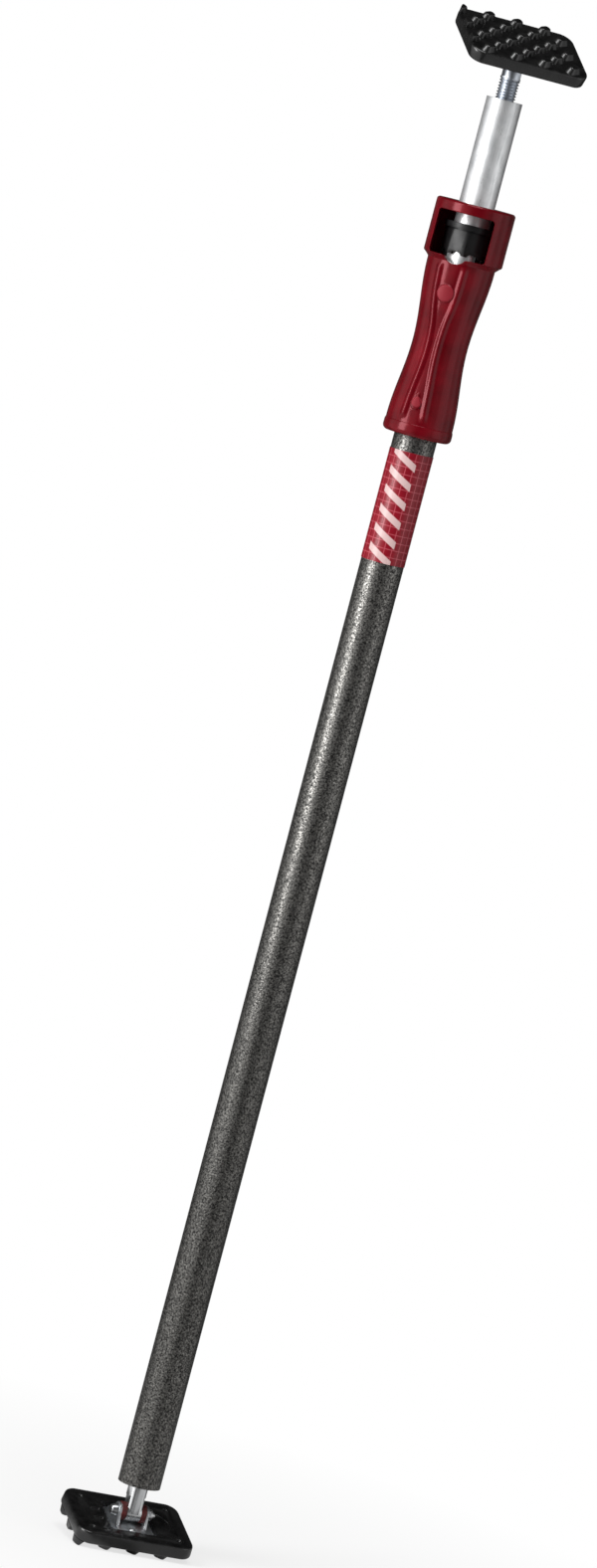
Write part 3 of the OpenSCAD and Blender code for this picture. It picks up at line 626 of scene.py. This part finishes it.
def noise_of(tree, place, size, detail=2.0):
    """Noise whose spots are about as large as size."""
    fineness = sum_of(tree, "DIVIDE", 1.0, size)
    return add(tree, "ShaderNodeTexNoise", {
        "Vector": place, "Scale": fineness, "Detail": detail}).outputs[0]


wave = noise_of(moulded, place, given["Wave"])
grain = noise_of(moulded, place, given["Grain"], 1.0)
waved = add(moulded, "ShaderNodeBump", {
    "Height": wave, "Distance": given["Wave depth"], "Strength": 1.0})
grained = add(moulded, "ShaderNodeBump", {
    "Height": grain, "Distance": given["Grain depth"], "Strength": 1.0, "Normal": waved.outputs[0]})
moulded.links.new(spread(moulded, wave, *PATCHED), result["Patch"])
moulded.links.new(grained.outputs[0], result["Normal"])

skin = use_effect(tree, moulded, Grain=HANDLE_GRAIN[0], Grain_depth=HANDLE_GRAIN[1],
                  Wave=HANDLE_WAVE[0], Wave_depth=HANDLE_WAVE[1])
axes = add(tree, "ShaderNodeSeparateXYZ", {0: add(tree, "ShaderNodeTexCoord").outputs["Object"]}).outputs
front = sum_of(tree, "LESS_THAN", axes["Y"], 0.0)
matt = 0.0
for middle, radius in ((BOSS_AT, BOSS_RADIUS), (DROP_AT + DROP_RADIUS / 2, DROP_RADIUS)):
    rise = sum_of(tree, "SUBTRACT", axes["Z"], handle_foot + middle)
    off = sum_of(tree, "SQRT", sum_of(tree, "ADD", sum_of(tree, "POWER", axes["X"], 2.0),
                                      sum_of(tree, "POWER", rise, 2.0)))
    matt = sum_of(tree, "MAXIMUM", matt, spread(
        tree, off, radius - MARK_SPREAD, radius + MARK_FADE, 1.0, 0.0))
matt = sum_of(tree, "MULTIPLY", matt, front)
glossy = colour_between(tree, skin["Patch"], HANDLE_DEEP, HANDLE_RED)
tree.links.new(colour_between(tree, matt, glossy, HANDLE_MATT), shader.inputs["Base Color"])
tree.links.new(sum_of(tree, "ADD", spread(tree, skin["Patch"], 0, 1, HANDLE_SMOOTH, HANDLE_DULL),
                      sum_of(tree, "MULTIPLY", matt, MATT_DULL)), shader.inputs["Roughness"])
tree.links.new(skin["Normal"], shader.inputs["Normal"])
moulding = lathed("handle_moulding", outside + inside, around, handle_foot, handle_relief)
new_piece("handle_moulding", changed_by(moulding, window_cutter, "DIFFERENCE"), crimson, "barrel", "handle")


# Inside the handle: the turned steel cone and jaws that grip the inner tube, their spring and
# cap, and the black plastic release ring, which the thumb lifts through the window.
STEEL_PALE = (0.56, 0.57, 0.58)
STEEL_DULL = (0.34, 0.345, 0.35)
BLACK_PLASTIC = (0.006, 0.006, 0.0065)
SPRING_TURNS, SPRING_WIRE, SPRING_RADIUS = 4, 1.4 * MM, 15.4 * MM
SPRING_STEPS, WIRE_SIDES = 40, 12
STREAKED, STAINED, WORN_ROUGH = (0.3, 0.7), (0.35, 0.65), 0.14
STEEL_ROUGH, TURNED_STREAK, TURNED_STRETCH = 0.3, 3 * MM, 0.06
JAW_EDGE, PIN_EDGE, RING_EDGE = 0.4 * MM, 0.5 * MM, 0.5 * MM
BLACK_SMOOTH, BLACK_ROUGH, BLACK_DULL, BLACK_SHINE = 0.26, 0.32, 0.42, 0.3
BLACK_GRAIN, BLACK_WAVE = (0.5 * MM, 0.008 * MM), (9 * MM, 0.05 * MM)

drawn, given, result = new_effect(
    "drawn_metal", {"Streak": 0.5 * MM, "Stretch": 40.0, "Stain": 30 * MM, "Depth": 0.01 * MM},
    {"Streaks": "NodeSocketFloat", "Stains": "NodeSocketFloat", "Normal": "NodeSocketVector"})
place = add(drawn, "ShaderNodeTexCoord").outputs["Object"]
squeeze = sum_of(drawn, "DIVIDE", 1.0, given["Stretch"])
drawn_out = add(drawn, "ShaderNodeVectorMath", {
    0: place, 1: add(drawn, "ShaderNodeCombineXYZ", {0: 1.0, 1: 1.0, 2: squeeze}).outputs[0]},
    operation="MULTIPLY").outputs[0]
streaks = noise_of(drawn, drawn_out, given["Streak"], 3.0)
stains = noise_of(drawn, place, given["Stain"], 3.0)
rubbed = add(drawn, "ShaderNodeBump", {"Height": streaks, "Distance": given["Depth"], "Strength": 1.0})
drawn.links.new(spread(drawn, streaks, *STREAKED), result["Streaks"])
drawn.links.new(spread(drawn, stains, *STAINED), result["Stains"])
drawn.links.new(rubbed.outputs[0], result["Normal"])


def new_metal(name, pale, dull, roughness, streak=0.5 * MM, stretch=40.0, stain=30 * MM,
              depth=0.01 * MM, metallic=1.0):
    """A bare or plated metal, with fine streaks along the pole and larger dull patches."""
    metal, tree, shader = new_finish(name, pale, roughness, metallic)
    worn = use_effect(tree, drawn, Streak=streak, Stretch=stretch, Stain=stain, Depth=depth)
    both = sum_of(tree, "MULTIPLY", worn["Streaks"], worn["Stains"])
    tree.links.new(colour_between(tree, both, pale, dull), shader.inputs["Base Color"])
    tree.links.new(spread(tree, worn["Streaks"], 0, 1, roughness, roughness + WORN_ROUGH),
                   shader.inputs["Roughness"])
    tree.links.new(worn["Normal"], shader.inputs["Normal"])
    return metal


turned_steel = new_metal("turned_steel", STEEL_PALE, STEEL_DULL, STEEL_ROUGH,
                         streak=TURNED_STREAK, stretch=TURNED_STRETCH)
coat(turned_steel, "lock_cone", "lock_cap")
softened("lock_jaws", turned_steel, "release", JAW_EDGE)
softened("handle_pins", turned_steel, "barrel", PIN_EDGE)

black_plastic, tree, shader = new_finish("black_plastic", BLACK_PLASTIC, BLACK_ROUGH)
skin = use_effect(tree, moulded, Grain=BLACK_GRAIN[0], Grain_depth=BLACK_GRAIN[1],
                  Wave=BLACK_WAVE[0], Wave_depth=BLACK_WAVE[1])
tree.links.new(spread(tree, skin["Patch"], 0, 1, BLACK_SMOOTH, BLACK_DULL), shader.inputs["Roughness"])
tree.links.new(skin["Normal"], shader.inputs["Normal"])
shader.inputs["Specular IOR Level"].default_value = BLACK_SHINE
softened("release_ring", black_plastic, "release", RING_EDGE)
coat(black_plastic, "tube_bush", "inner_bush", "spindle_guide")


def new_shaper(name, inputs):
    """A geometry tree with named inputs; it returns the tree, its inputs, and what ends it."""
    tree = bpy.data.node_groups.new(name, "GeometryNodeTree")
    tree.interface.new_socket("Geometry", in_out="INPUT", socket_type="NodeSocketGeometry")
    for socket, kind in inputs.items():
        tree.interface.new_socket(socket, in_out="INPUT", socket_type="NodeSocket" + kind)
    tree.interface.new_socket("Geometry", in_out="OUTPUT", socket_type="NodeSocketGeometry")
    given = add(tree, "NodeGroupInput").outputs

    def finish_with(geometry):
        real = add(tree, "GeometryNodeRealizeInstances", {0: geometry}).outputs[0]
        dressed = add(tree, "GeometryNodeSetMaterial", {"Geometry": real, "Material": given["Material"]})
        add(tree, "NodeGroupOutput", {0: dressed.outputs[0]})
    return tree, given, finish_with


def shaped(tree, **values):
    """The plain mesh that a geometry tree makes with these values for its inputs."""
    carrier = bpy.data.objects.new("carrier", bpy.data.meshes.new("carrier"))
    bpy.context.collection.objects.link(carrier)
    maker = carrier.modifiers.new("shaper", "NODES")
    maker.node_group = tree
    for item in tree.interface.items_tree:
        key = item.name.replace(" ", "_")
        if item.in_out == "INPUT" and key in values:
            maker[item.identifier] = values[key]
    mesh = baked(carrier)
    bpy.data.objects.remove(carrier)
    return mesh


coil_tree, given, finish_with = new_shaper("coil_spring", {
    "Turns": "Float", "Radius": "Float", "Rise": "Float", "Foot": "Float", "Wire": "Float",
    "Steps": "Int", "Material": "Material"})
tree = coil_tree
coil = add(tree, "GeometryNodeCurveSpiral", {
    "Resolution": given["Steps"], "Rotations": given["Turns"], "Start Radius": given["Radius"],
    "End Radius": given["Radius"], "Height": given["Rise"]}).outputs[0]
lifted = add(tree, "GeometryNodeSetPosition", {
    "Geometry": coil,
    "Offset": add(tree, "ShaderNodeCombineXYZ", {2: given["Foot"]}).outputs[0]}).outputs[0]
round_wire = add(tree, "GeometryNodeCurvePrimitiveCircle", {
    "Resolution": WIRE_SIDES, "Radius": given["Wire"]}).outputs[0]
finish_with(add(tree, "GeometryNodeCurveToMesh", {
    "Curve": lifted, "Profile Curve": round_wire, "Fill Caps": True}).outputs[0])
spring_low, spring_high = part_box("lock_spring")
spring_rise = spring_high.z - spring_low.z - SPRING_WIRE
spring_mesh = shaped(coil_tree, Turns=float(SPRING_TURNS), Radius=SPRING_RADIUS, Rise=spring_rise,
                     Foot=spring_low.z + SPRING_WIRE / 2, Wire=SPRING_WIRE / 2, Steps=SPRING_STEPS,
                     Material=turned_steel)
spring = new_piece("lock_spring_coil", spring_mesh, turned_steel, "barrel", "lock_spring")
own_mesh(spring)


# The inner tube is bright zinc on drawn steel, with a steel insert at its top for the spindle.
# It slides in the bush of the outer tube, so long fine streaks run along it.
ZINC_PALE = (0.80, 0.81, 0.82)
ZINC_DULL = (0.52, 0.54, 0.55)
ZINC_ROUGH, ZINC_METAL, INNER_RIM = 0.26, 0.72, 0.3 * MM
ZINC_STREAK, ZINC_STRETCH, ZINC_STAIN, ZINC_DEPTH = 1.6 * MM, 14.0, 9 * MM, 0.015 * MM

zinc = new_metal("zinc_tube", ZINC_PALE, ZINC_DULL, ZINC_ROUGH, streak=ZINC_STREAK,
                 stretch=ZINC_STRETCH, stain=ZINC_STAIN, depth=ZINC_DEPTH, metallic=ZINC_METAL)
softened("inner_tube", zinc, "inner", INNER_RIM)
coat(turned_steel, "spindle_nut", "spindle_clip")


# The spindle is a zinc plated steel rod with a rolled thread below a short plain neck.
# Its flattened end is held between the ears of the head's fork.
THREAD_PALE = (0.66, 0.70, 0.76)
THREAD_DULL = (0.40, 0.43, 0.48)
THREAD_RADIUS, THREAD_DEPTH, THREAD_PITCH = 7 * MM, 1.15 * MM, 2 * MM
THREAD_CREST, THREAD_ROOT = 0.07, 0.44
THREAD_ROUGH, THREAD_STREAK, THREAD_STRETCH = 0.26, 2 * MM, 0.1
NECK_LENGTH = 12.6 * MM
JOURNAL_LENGTH = 14 * MM
PIN_FROM_TOP = 6.3 * MM
ROUND_STEPS, PITCH_STEPS, SEAM_WIDTH = 56, 12, 0.001 * MM
SLICE_SHARP = 50

spindle_low, spindle_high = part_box("spindle")
head_pin_height = spindle_high.z - PIN_FROM_TOP
thread_top = head_pin_height - NECK_LENGTH
thread_foot = spindle_low.z + JOURNAL_LENGTH

thread_tree, given, finish_with = new_shaper("rolled_thread", {
    "Radius": "Float", "Depth": "Float", "Pitch": "Float", "Foot": "Float", "Length": "Float",
    "Rows": "Int", "Round": "Int", "Material": "Material"})
tree = thread_tree
sheet = add(tree, "GeometryNodeMeshGrid", {
    "Size X": 1.0, "Size Y": 1.0, "Vertices X": given["Round"],
    "Vertices Y": given["Rows"]}).outputs["Mesh"]
spot = add(tree, "ShaderNodeSeparateXYZ", {0: add(tree, "GeometryNodeInputPosition").outputs[0]}).outputs
share = sum_of(tree, "ADD", spot["X"], 0.5)
rise = sum_of(tree, "MULTIPLY", sum_of(tree, "ADD", spot["Y"], 0.5), given["Length"])
pitches = sum_of(tree, "DIVIDE", rise, given["Pitch"])
phase = sum_of(tree, "FRACT", sum_of(tree, "SUBTRACT", pitches, share))
flank = sum_of(tree, "ABSOLUTE", sum_of(tree, "SUBTRACT", phase, 0.5))
valley = spread(tree, flank, THREAD_CREST, THREAD_ROOT, 1.0, 0.0)
nearest_end = sum_of(tree, "MINIMUM", rise, sum_of(tree, "SUBTRACT", given["Length"], rise))
runout = spread(tree, nearest_end, 0.0, given["Pitch"])
sunk = sum_of(tree, "MULTIPLY", sum_of(tree, "MULTIPLY", valley, runout), given["Depth"])
radius = sum_of(tree, "SUBTRACT", given["Radius"], sunk)
turn = sum_of(tree, "MULTIPLY", share, 2 * math.pi)
spun = add(tree, "ShaderNodeCombineXYZ", {
    0: sum_of(tree, "MULTIPLY", radius, sum_of(tree, "COSINE", turn)),
    1: sum_of(tree, "MULTIPLY", radius, sum_of(tree, "SINE", turn)),
    2: sum_of(tree, "ADD", rise, given["Foot"])}).outputs[0]
rolled = add(tree, "GeometryNodeSetPosition", {"Geometry": sheet, "Position": spun}).outputs[0]
finish_with(add(tree, "GeometryNodeMergeByDistance", {
    "Geometry": rolled, "Distance": SEAM_WIDTH}).outputs[0])

thread_zinc = new_metal("thread_zinc", THREAD_PALE, THREAD_DULL, THREAD_ROUGH,
                        streak=THREAD_STREAK, stretch=THREAD_STRETCH)
thread_mesh = shaped(
    thread_tree, Radius=THREAD_RADIUS, Depth=THREAD_DEPTH, Pitch=THREAD_PITCH, Foot=thread_foot,
    Length=thread_top - thread_foot, Rows=int((thread_top - thread_foot) / THREAD_PITCH * PITCH_STEPS),
    Round=ROUND_STEPS + 1, Material=thread_zinc)


def sliced(node, height, keep_above):
    """The part of a CAD node above or below a height, closed where it is cut."""
    shape = merged_copy(node)
    cut = bmesh.ops.bisect_plane(shape, geom=shape.verts[:] + shape.edges[:] + shape.faces[:],
                                 plane_co=(0, 0, height), plane_no=(0, 0, 1),
                                 clear_inner=keep_above, clear_outer=not keep_above)
    rim = [e for e in cut["geom_cut"] if isinstance(e, bmesh.types.BMEdge)]
    bmesh.ops.holes_fill(shape, edges=rim)
    return shape


spindle_mesh = plain_mesh("spindle_thread", sliced("spindle", thread_top, True), thread_mesh,
                          sliced("spindle", thread_foot, False))
new_piece("spindle_thread", spindle_mesh, thread_zinc, "spindle", "spindle", sharp=SLICE_SHARP)


# Two like pads of black rubber, moulded round a steel plate, with cleats on their soles.
# The rubber is satin, with patches that are a little greyer and rougher.
RUBBER_BLACK = (0.003, 0.003, 0.003)
RUBBER_GREY = (0.008, 0.0078, 0.0078)
PAD_HALF_LENGTH, PAD_HALF_WIDTH, PAD_CORNER = 43.5 * MM, 30 * MM, 10 * MM
PAD_TOTAL, PIN_OVER_SOLE, CUT_CLEAR = 13 * MM, 18 * MM, 2 * MM
PAD_EASE, PAD_SHARP, TREAD_SHARP = 0.35 * MM, 55, 45
PAD_RINGS = [(4.0, 1.5), (4.12, 0.9), (4.5, 0.35), (5.1, 0.08), (6.0, 0.0), (11.5, 0.5),
             (12.3, 0.8), (12.8, 1.3), (13.0, 2.0)]
PAD_TURN, HEAD_TILT, FOOT_TILT = math.radians(36), math.radians(26), math.radians(16)
POCKET_LENGTH, POCKET_WIDTH, POCKET_FLOOR, POCKET_CORNER = 35 * MM, 36 * MM, 9 * MM, 3 * MM
FLOOR_SUNK, POCKET_STEPS = 0.05 * MM, 6
DIMPLE_PLACES, DIMPLE_RADIUS, DIMPLE_DEPTH, DIMPLE_SIDES = (32.19 * MM, 19.8 * MM), 2 * MM, 1 * MM, 32
SLOT_SIZE, SLOT_PLACE, SLOT_CORNER, SLOT_STEPS = (7 * MM, 1.8 * MM), (24.36 * MM, 6 * MM), 0.8 * MM, 4
STEP_RADIUS, STEP_DEPTH, STEP_SIDES = 13 * MM, 0.8 * MM, 64
CLEAT_LENGTH, CLEAT_WIDTH, CLEAT_TURN = 11.6 * MM, 7.4 * MM, math.radians(-30)
CLEAT_RINGS = [(4.3, 1.06), (4.0, 1.03), (3.4, 0.96), (0.9, 0.72), (0.35, 0.67), (0.08, 0.6),
               (0.0, 0.5)]
CLEAT_ROUND, CLEAT_STEPS = 0.8, 3
CLEAT_PITCH, ROW_PITCH, ROW_COUNT, ROW_CLEATS = 21 * MM, 9.5 * MM, 6, 4
TREAD_INSET, TREAD_SLICE = 0.2 * MM, (-1 * MM, 6 * MM)
RUBBER_BASE, RUBBER_SMOOTH, RUBBER_ROUGH, RUBBER_SHINE = 0.3, 0.16, 0.28, 0.6
RUBBER_GRAIN, RUBBER_WAVE = (0.45 * MM, 0.02 * MM), (7 * MM, 0.06 * MM)


def rounded_outline(half_x, half_y, corner, steps=9):
    """Points round a rectangle with round corners."""
    points = []
    for sx, sy, start in ((1, 1, 0), (-1, 1, 90), (-1, -1, 180), (1, -1, 270)):
        points += quarter((sx * (half_x - corner), sy * (half_y - corner)), corner, start, steps)
    return points


def circle(x, y, radius, sides):
    """Points round a circle about (x, y)."""
    turns = [2 * math.pi * k / sides for k in range(sides)]
    return [(x + radius * math.cos(a), y + radius * math.sin(a)) for a in turns]


def stacked(shape, rings):
    """A closed form through rings of points, each ring a list of (x, y) with its height."""
    rows = [[shape.verts.new((x, y, height)) for x, y in ring] for height, ring in rings]
    for low, high in zip(rows, rows[1:]):
        for k in range(len(low)):
            shape.faces.new((low[k - 1], low[k], high[k], high[k - 1]))
    shape.faces.new(tuple(reversed(rows[0])))
    shape.faces.new(tuple(rows[-1]))
    bmesh.ops.recalc_face_normals(shape, faces=shape.faces)


pad_shape = bmesh.new()
stacked(pad_shape, [
    (height * MM, rounded_outline(PAD_HALF_LENGTH - inset * MM, PAD_HALF_WIDTH - inset * MM,
                                  PAD_CORNER - inset * MM)) for height, inset in PAD_RINGS])
above = PAD_TOTAL + CUT_CLEAR
hollows = bmesh.new()
step_ring = circle(POCKET_LENGTH / 2, 0.0, STEP_RADIUS, STEP_SIDES)
stacked(hollows, [(PAD_TOTAL - STEP_DEPTH, step_ring), (above, step_ring)])
for sx in (-1, 1):
    for sy in (-1, 1):
        ring = circle(sx * DIMPLE_PLACES[0], sy * DIMPLE_PLACES[1], DIMPLE_RADIUS, DIMPLE_SIDES)
        stacked(hollows, [(PAD_TOTAL - DIMPLE_DEPTH, ring), (above, ring)])
    ring = [(x - SLOT_PLACE[0], y + sx * SLOT_PLACE[1])
            for x, y in rounded_outline(SLOT_SIZE[0] / 2, SLOT_SIZE[1] / 2, SLOT_CORNER, SLOT_STEPS)]
    stacked(hollows, [(PAD_TOTAL - DIMPLE_DEPTH, ring), (above, ring)])
pocket_cut = bmesh.new()
pocket_ring = rounded_outline(POCKET_LENGTH / 2, POCKET_WIDTH / 2, POCKET_CORNER, POCKET_STEPS)
stacked(pocket_cut, [(POCKET_FLOOR - FLOOR_SUNK, pocket_ring), (above, pocket_ring)])
pad_mesh = changed_by(plain_mesh("pad_body", pad_shape), plain_mesh("pad_hollows", hollows), "DIFFERENCE")
pad_mesh = changed_by(pad_mesh, plain_mesh("pad_pocket", pocket_cut), "DIFFERENCE")
pad_mesh = rounded_over(pad_mesh, PAD_EASE, PAD_SHARP)

cleat_shape = bmesh.new()
half, side = CLEAT_LENGTH / 2, CLEAT_WIDTH / 2
cleat_outline = rounded_outline(half, side, side * CLEAT_ROUND, CLEAT_STEPS)
stacked(cleat_shape, [(height * MM, [(x * scale, y * scale) for x, y in cleat_outline])
                      for height, scale in CLEAT_RINGS])
cleat = bpy.data.objects.new("cleat", plain_mesh("cleat", cleat_shape))
bpy.context.collection.objects.link(cleat)

rubber, tree, shader = new_finish("black_rubber", RUBBER_BLACK, RUBBER_BASE)
shader.inputs["Specular IOR Level"].default_value = RUBBER_SHINE
skin = use_effect(tree, moulded, Grain=RUBBER_GRAIN[0], Grain_depth=RUBBER_GRAIN[1],
                  Wave=RUBBER_WAVE[0], Wave_depth=RUBBER_WAVE[1])
tree.links.new(colour_between(tree, skin["Patch"], RUBBER_BLACK, RUBBER_GREY), shader.inputs["Base Color"])
tree.links.new(spread(tree, skin["Patch"], 0, 1, RUBBER_SMOOTH, RUBBER_ROUGH), shader.inputs["Roughness"])
tree.links.new(skin["Normal"], shader.inputs["Normal"])

tread_tree, given, finish_with = new_shaper("cleat_rows", {
    "Cleat": "Object", "Cleats": "Int", "Rows": "Int", "Pitch": "Float", "Row pitch": "Float",
    "Turn": "Float", "Material": "Material"})
tree = tread_tree
length = sum_of(tree, "MULTIPLY", sum_of(tree, "SUBTRACT", given["Cleats"], 1.0), given["Pitch"])
width = sum_of(tree, "MULTIPLY", sum_of(tree, "SUBTRACT", given["Rows"], 1.0), given["Row pitch"])
spots = add(tree, "GeometryNodeMeshGrid", {
    "Size X": length, "Size Y": width, "Vertices X": given["Cleats"],
    "Vertices Y": given["Rows"]}).outputs["Mesh"]
row = sum_of(tree, "MODULO", add(tree, "GeometryNodeInputIndex").outputs[0], given["Rows"])
even = sum_of(tree, "SUBTRACT", 1.0, sum_of(tree, "MODULO", row, 2.0))
back = sum_of(tree, "MULTIPLY", sum_of(tree, "MULTIPLY", even, given["Pitch"]), -0.5)
staggered = add(tree, "GeometryNodeSetPosition", {
    "Geometry": spots, "Offset": add(tree, "ShaderNodeCombineXYZ", {0: back}).outputs[0]}).outputs[0]
one_cleat = add(tree, "GeometryNodeObjectInfo", {
    "Object": given["Cleat"], "As Instance": True}).outputs["Geometry"]
turned = add(tree, "ShaderNodeCombineXYZ", {2: given["Turn"]}).outputs[0]
finish_with(add(tree, "GeometryNodeInstanceOnPoints", {
    "Points": staggered, "Instance": one_cleat, "Rotation": turned}).outputs[0])
cleats_mesh = shaped(tread_tree, Cleat=cleat, Cleats=ROW_CLEATS, Rows=ROW_COUNT, Pitch=CLEAT_PITCH,
                     Row_pitch=ROW_PITCH, Turn=CLEAT_TURN, Material=rubber)
bpy.data.objects.remove(cleat)
edge_shape = bmesh.new()
edge_ring = rounded_outline(PAD_HALF_LENGTH - TREAD_INSET, PAD_HALF_WIDTH - TREAD_INSET,
                            PAD_CORNER - TREAD_INSET)
stacked(edge_shape, [(height, edge_ring) for height in TREAD_SLICE])
cleats_mesh = changed_by(cleats_mesh, plain_mesh("pad_edge", edge_shape), "INTERSECT")

foot_pin_height = PIN_OVER_SOLE / math.cos(FOOT_TILT)
sunk = Matrix.Translation((0, 0, -PIN_OVER_SOLE))
pad_places = {
    "head": Matrix.Translation((0, 0, head_pin_height)) @ Matrix.Rotation(PAD_TURN, 4, "Z")
    @ Matrix.Rotation(HEAD_TILT + math.pi, 4, "X") @ sunk,
    "foot": Matrix.Translation((0, 0, foot_pin_height)) @ Matrix.Rotation(PAD_TURN, 4, "Z")
    @ Matrix.Rotation(FOOT_TILT, 4, "X") @ sunk}
for end, placed in pad_places.items():
    mesh = plain_mesh(end + "_tread_pad", pad_mesh, cleats_mesh)
    mesh.transform(placed)
    new_piece(end + "_tread_pad", mesh, rubber, end, end + "_pad", sharp=TREAD_SHARP)


# Each pad's plate carries a pressed steel fork on two rivets, and a cross pin through the ears
# holds the rod between two dark red fibre washers.
PLATE_PALE = (0.62, 0.64, 0.66)
PLATE_DULL = (0.40, 0.42, 0.44)
FIBRE_RED = (0.12, 0.008, 0.008)
FIBRE_DARK = (0.05, 0.004, 0.004)
PLATE_ROUGH, PIN_ROUGH, FIBRE_ROUGH = 0.32, 0.26, 0.55
PLATE_SPOTS, PIN_SPOTS = (1.5 * MM, 8 * MM), (1 * MM, 5 * MM)
FIBRE_GRAIN, FIBRE_WAVE = (0.3 * MM, 0.03 * MM), (2 * MM, 0.05 * MM)

plate_zinc = new_metal("plate_zinc", PLATE_PALE, PLATE_DULL, PLATE_ROUGH,
                       streak=PLATE_SPOTS[0], stretch=1.0, stain=PLATE_SPOTS[1])
pin_zinc = new_metal("pin_zinc", STEEL_PALE, STEEL_DULL, PIN_ROUGH,
                     streak=PIN_SPOTS[0], stretch=1.0, stain=PIN_SPOTS[1])
fibre, tree, shader = new_finish("red_fibre", FIBRE_RED, FIBRE_ROUGH)
skin = use_effect(tree, moulded, Grain=FIBRE_GRAIN[0], Grain_depth=FIBRE_GRAIN[1],
                  Wave=FIBRE_WAVE[0], Wave_depth=FIBRE_WAVE[1])
tree.links.new(colour_between(tree, skin["Patch"], FIBRE_DARK, FIBRE_RED), shader.inputs["Base Color"])
tree.links.new(skin["Normal"], shader.inputs["Normal"])
fixing_edges = {"_plate": (plate_zinc, 0.4 * MM), "_fork": (plate_zinc, 0.4 * MM),
                "_rivets": (pin_zinc, 0.5 * MM), "_pin": (pin_zinc, 0.8 * MM),
                "_washers": (fibre, 0.3 * MM)}
for end in ("head", "foot"):
    for kind, (finish, edge) in fixing_edges.items():
        softened(end + kind, finish, end, edge)


# The foot rod is a plain ground steel rod. It turns in a steel plug in the tube's lower end,
# on a ball, and a spring pin across the plug keeps it in.
ROD_PALE = (0.70, 0.71, 0.72)
ROD_DULL = (0.48, 0.49, 0.50)
ROD_ROUGH, ROD_STREAK, ROD_STRETCH, ROD_EDGE = 0.22, 0.8 * MM, 30.0, 0.3 * MM

ground_steel = new_metal("ground_steel", ROD_PALE, ROD_DULL, ROD_ROUGH,
                         streak=ROD_STREAK, stretch=ROD_STRETCH)
softened("foot_rod", ground_steel, "foot_swivel", ROD_EDGE)
coat(turned_steel, "foot_plug", "foot_keeper", "thrust_ball")
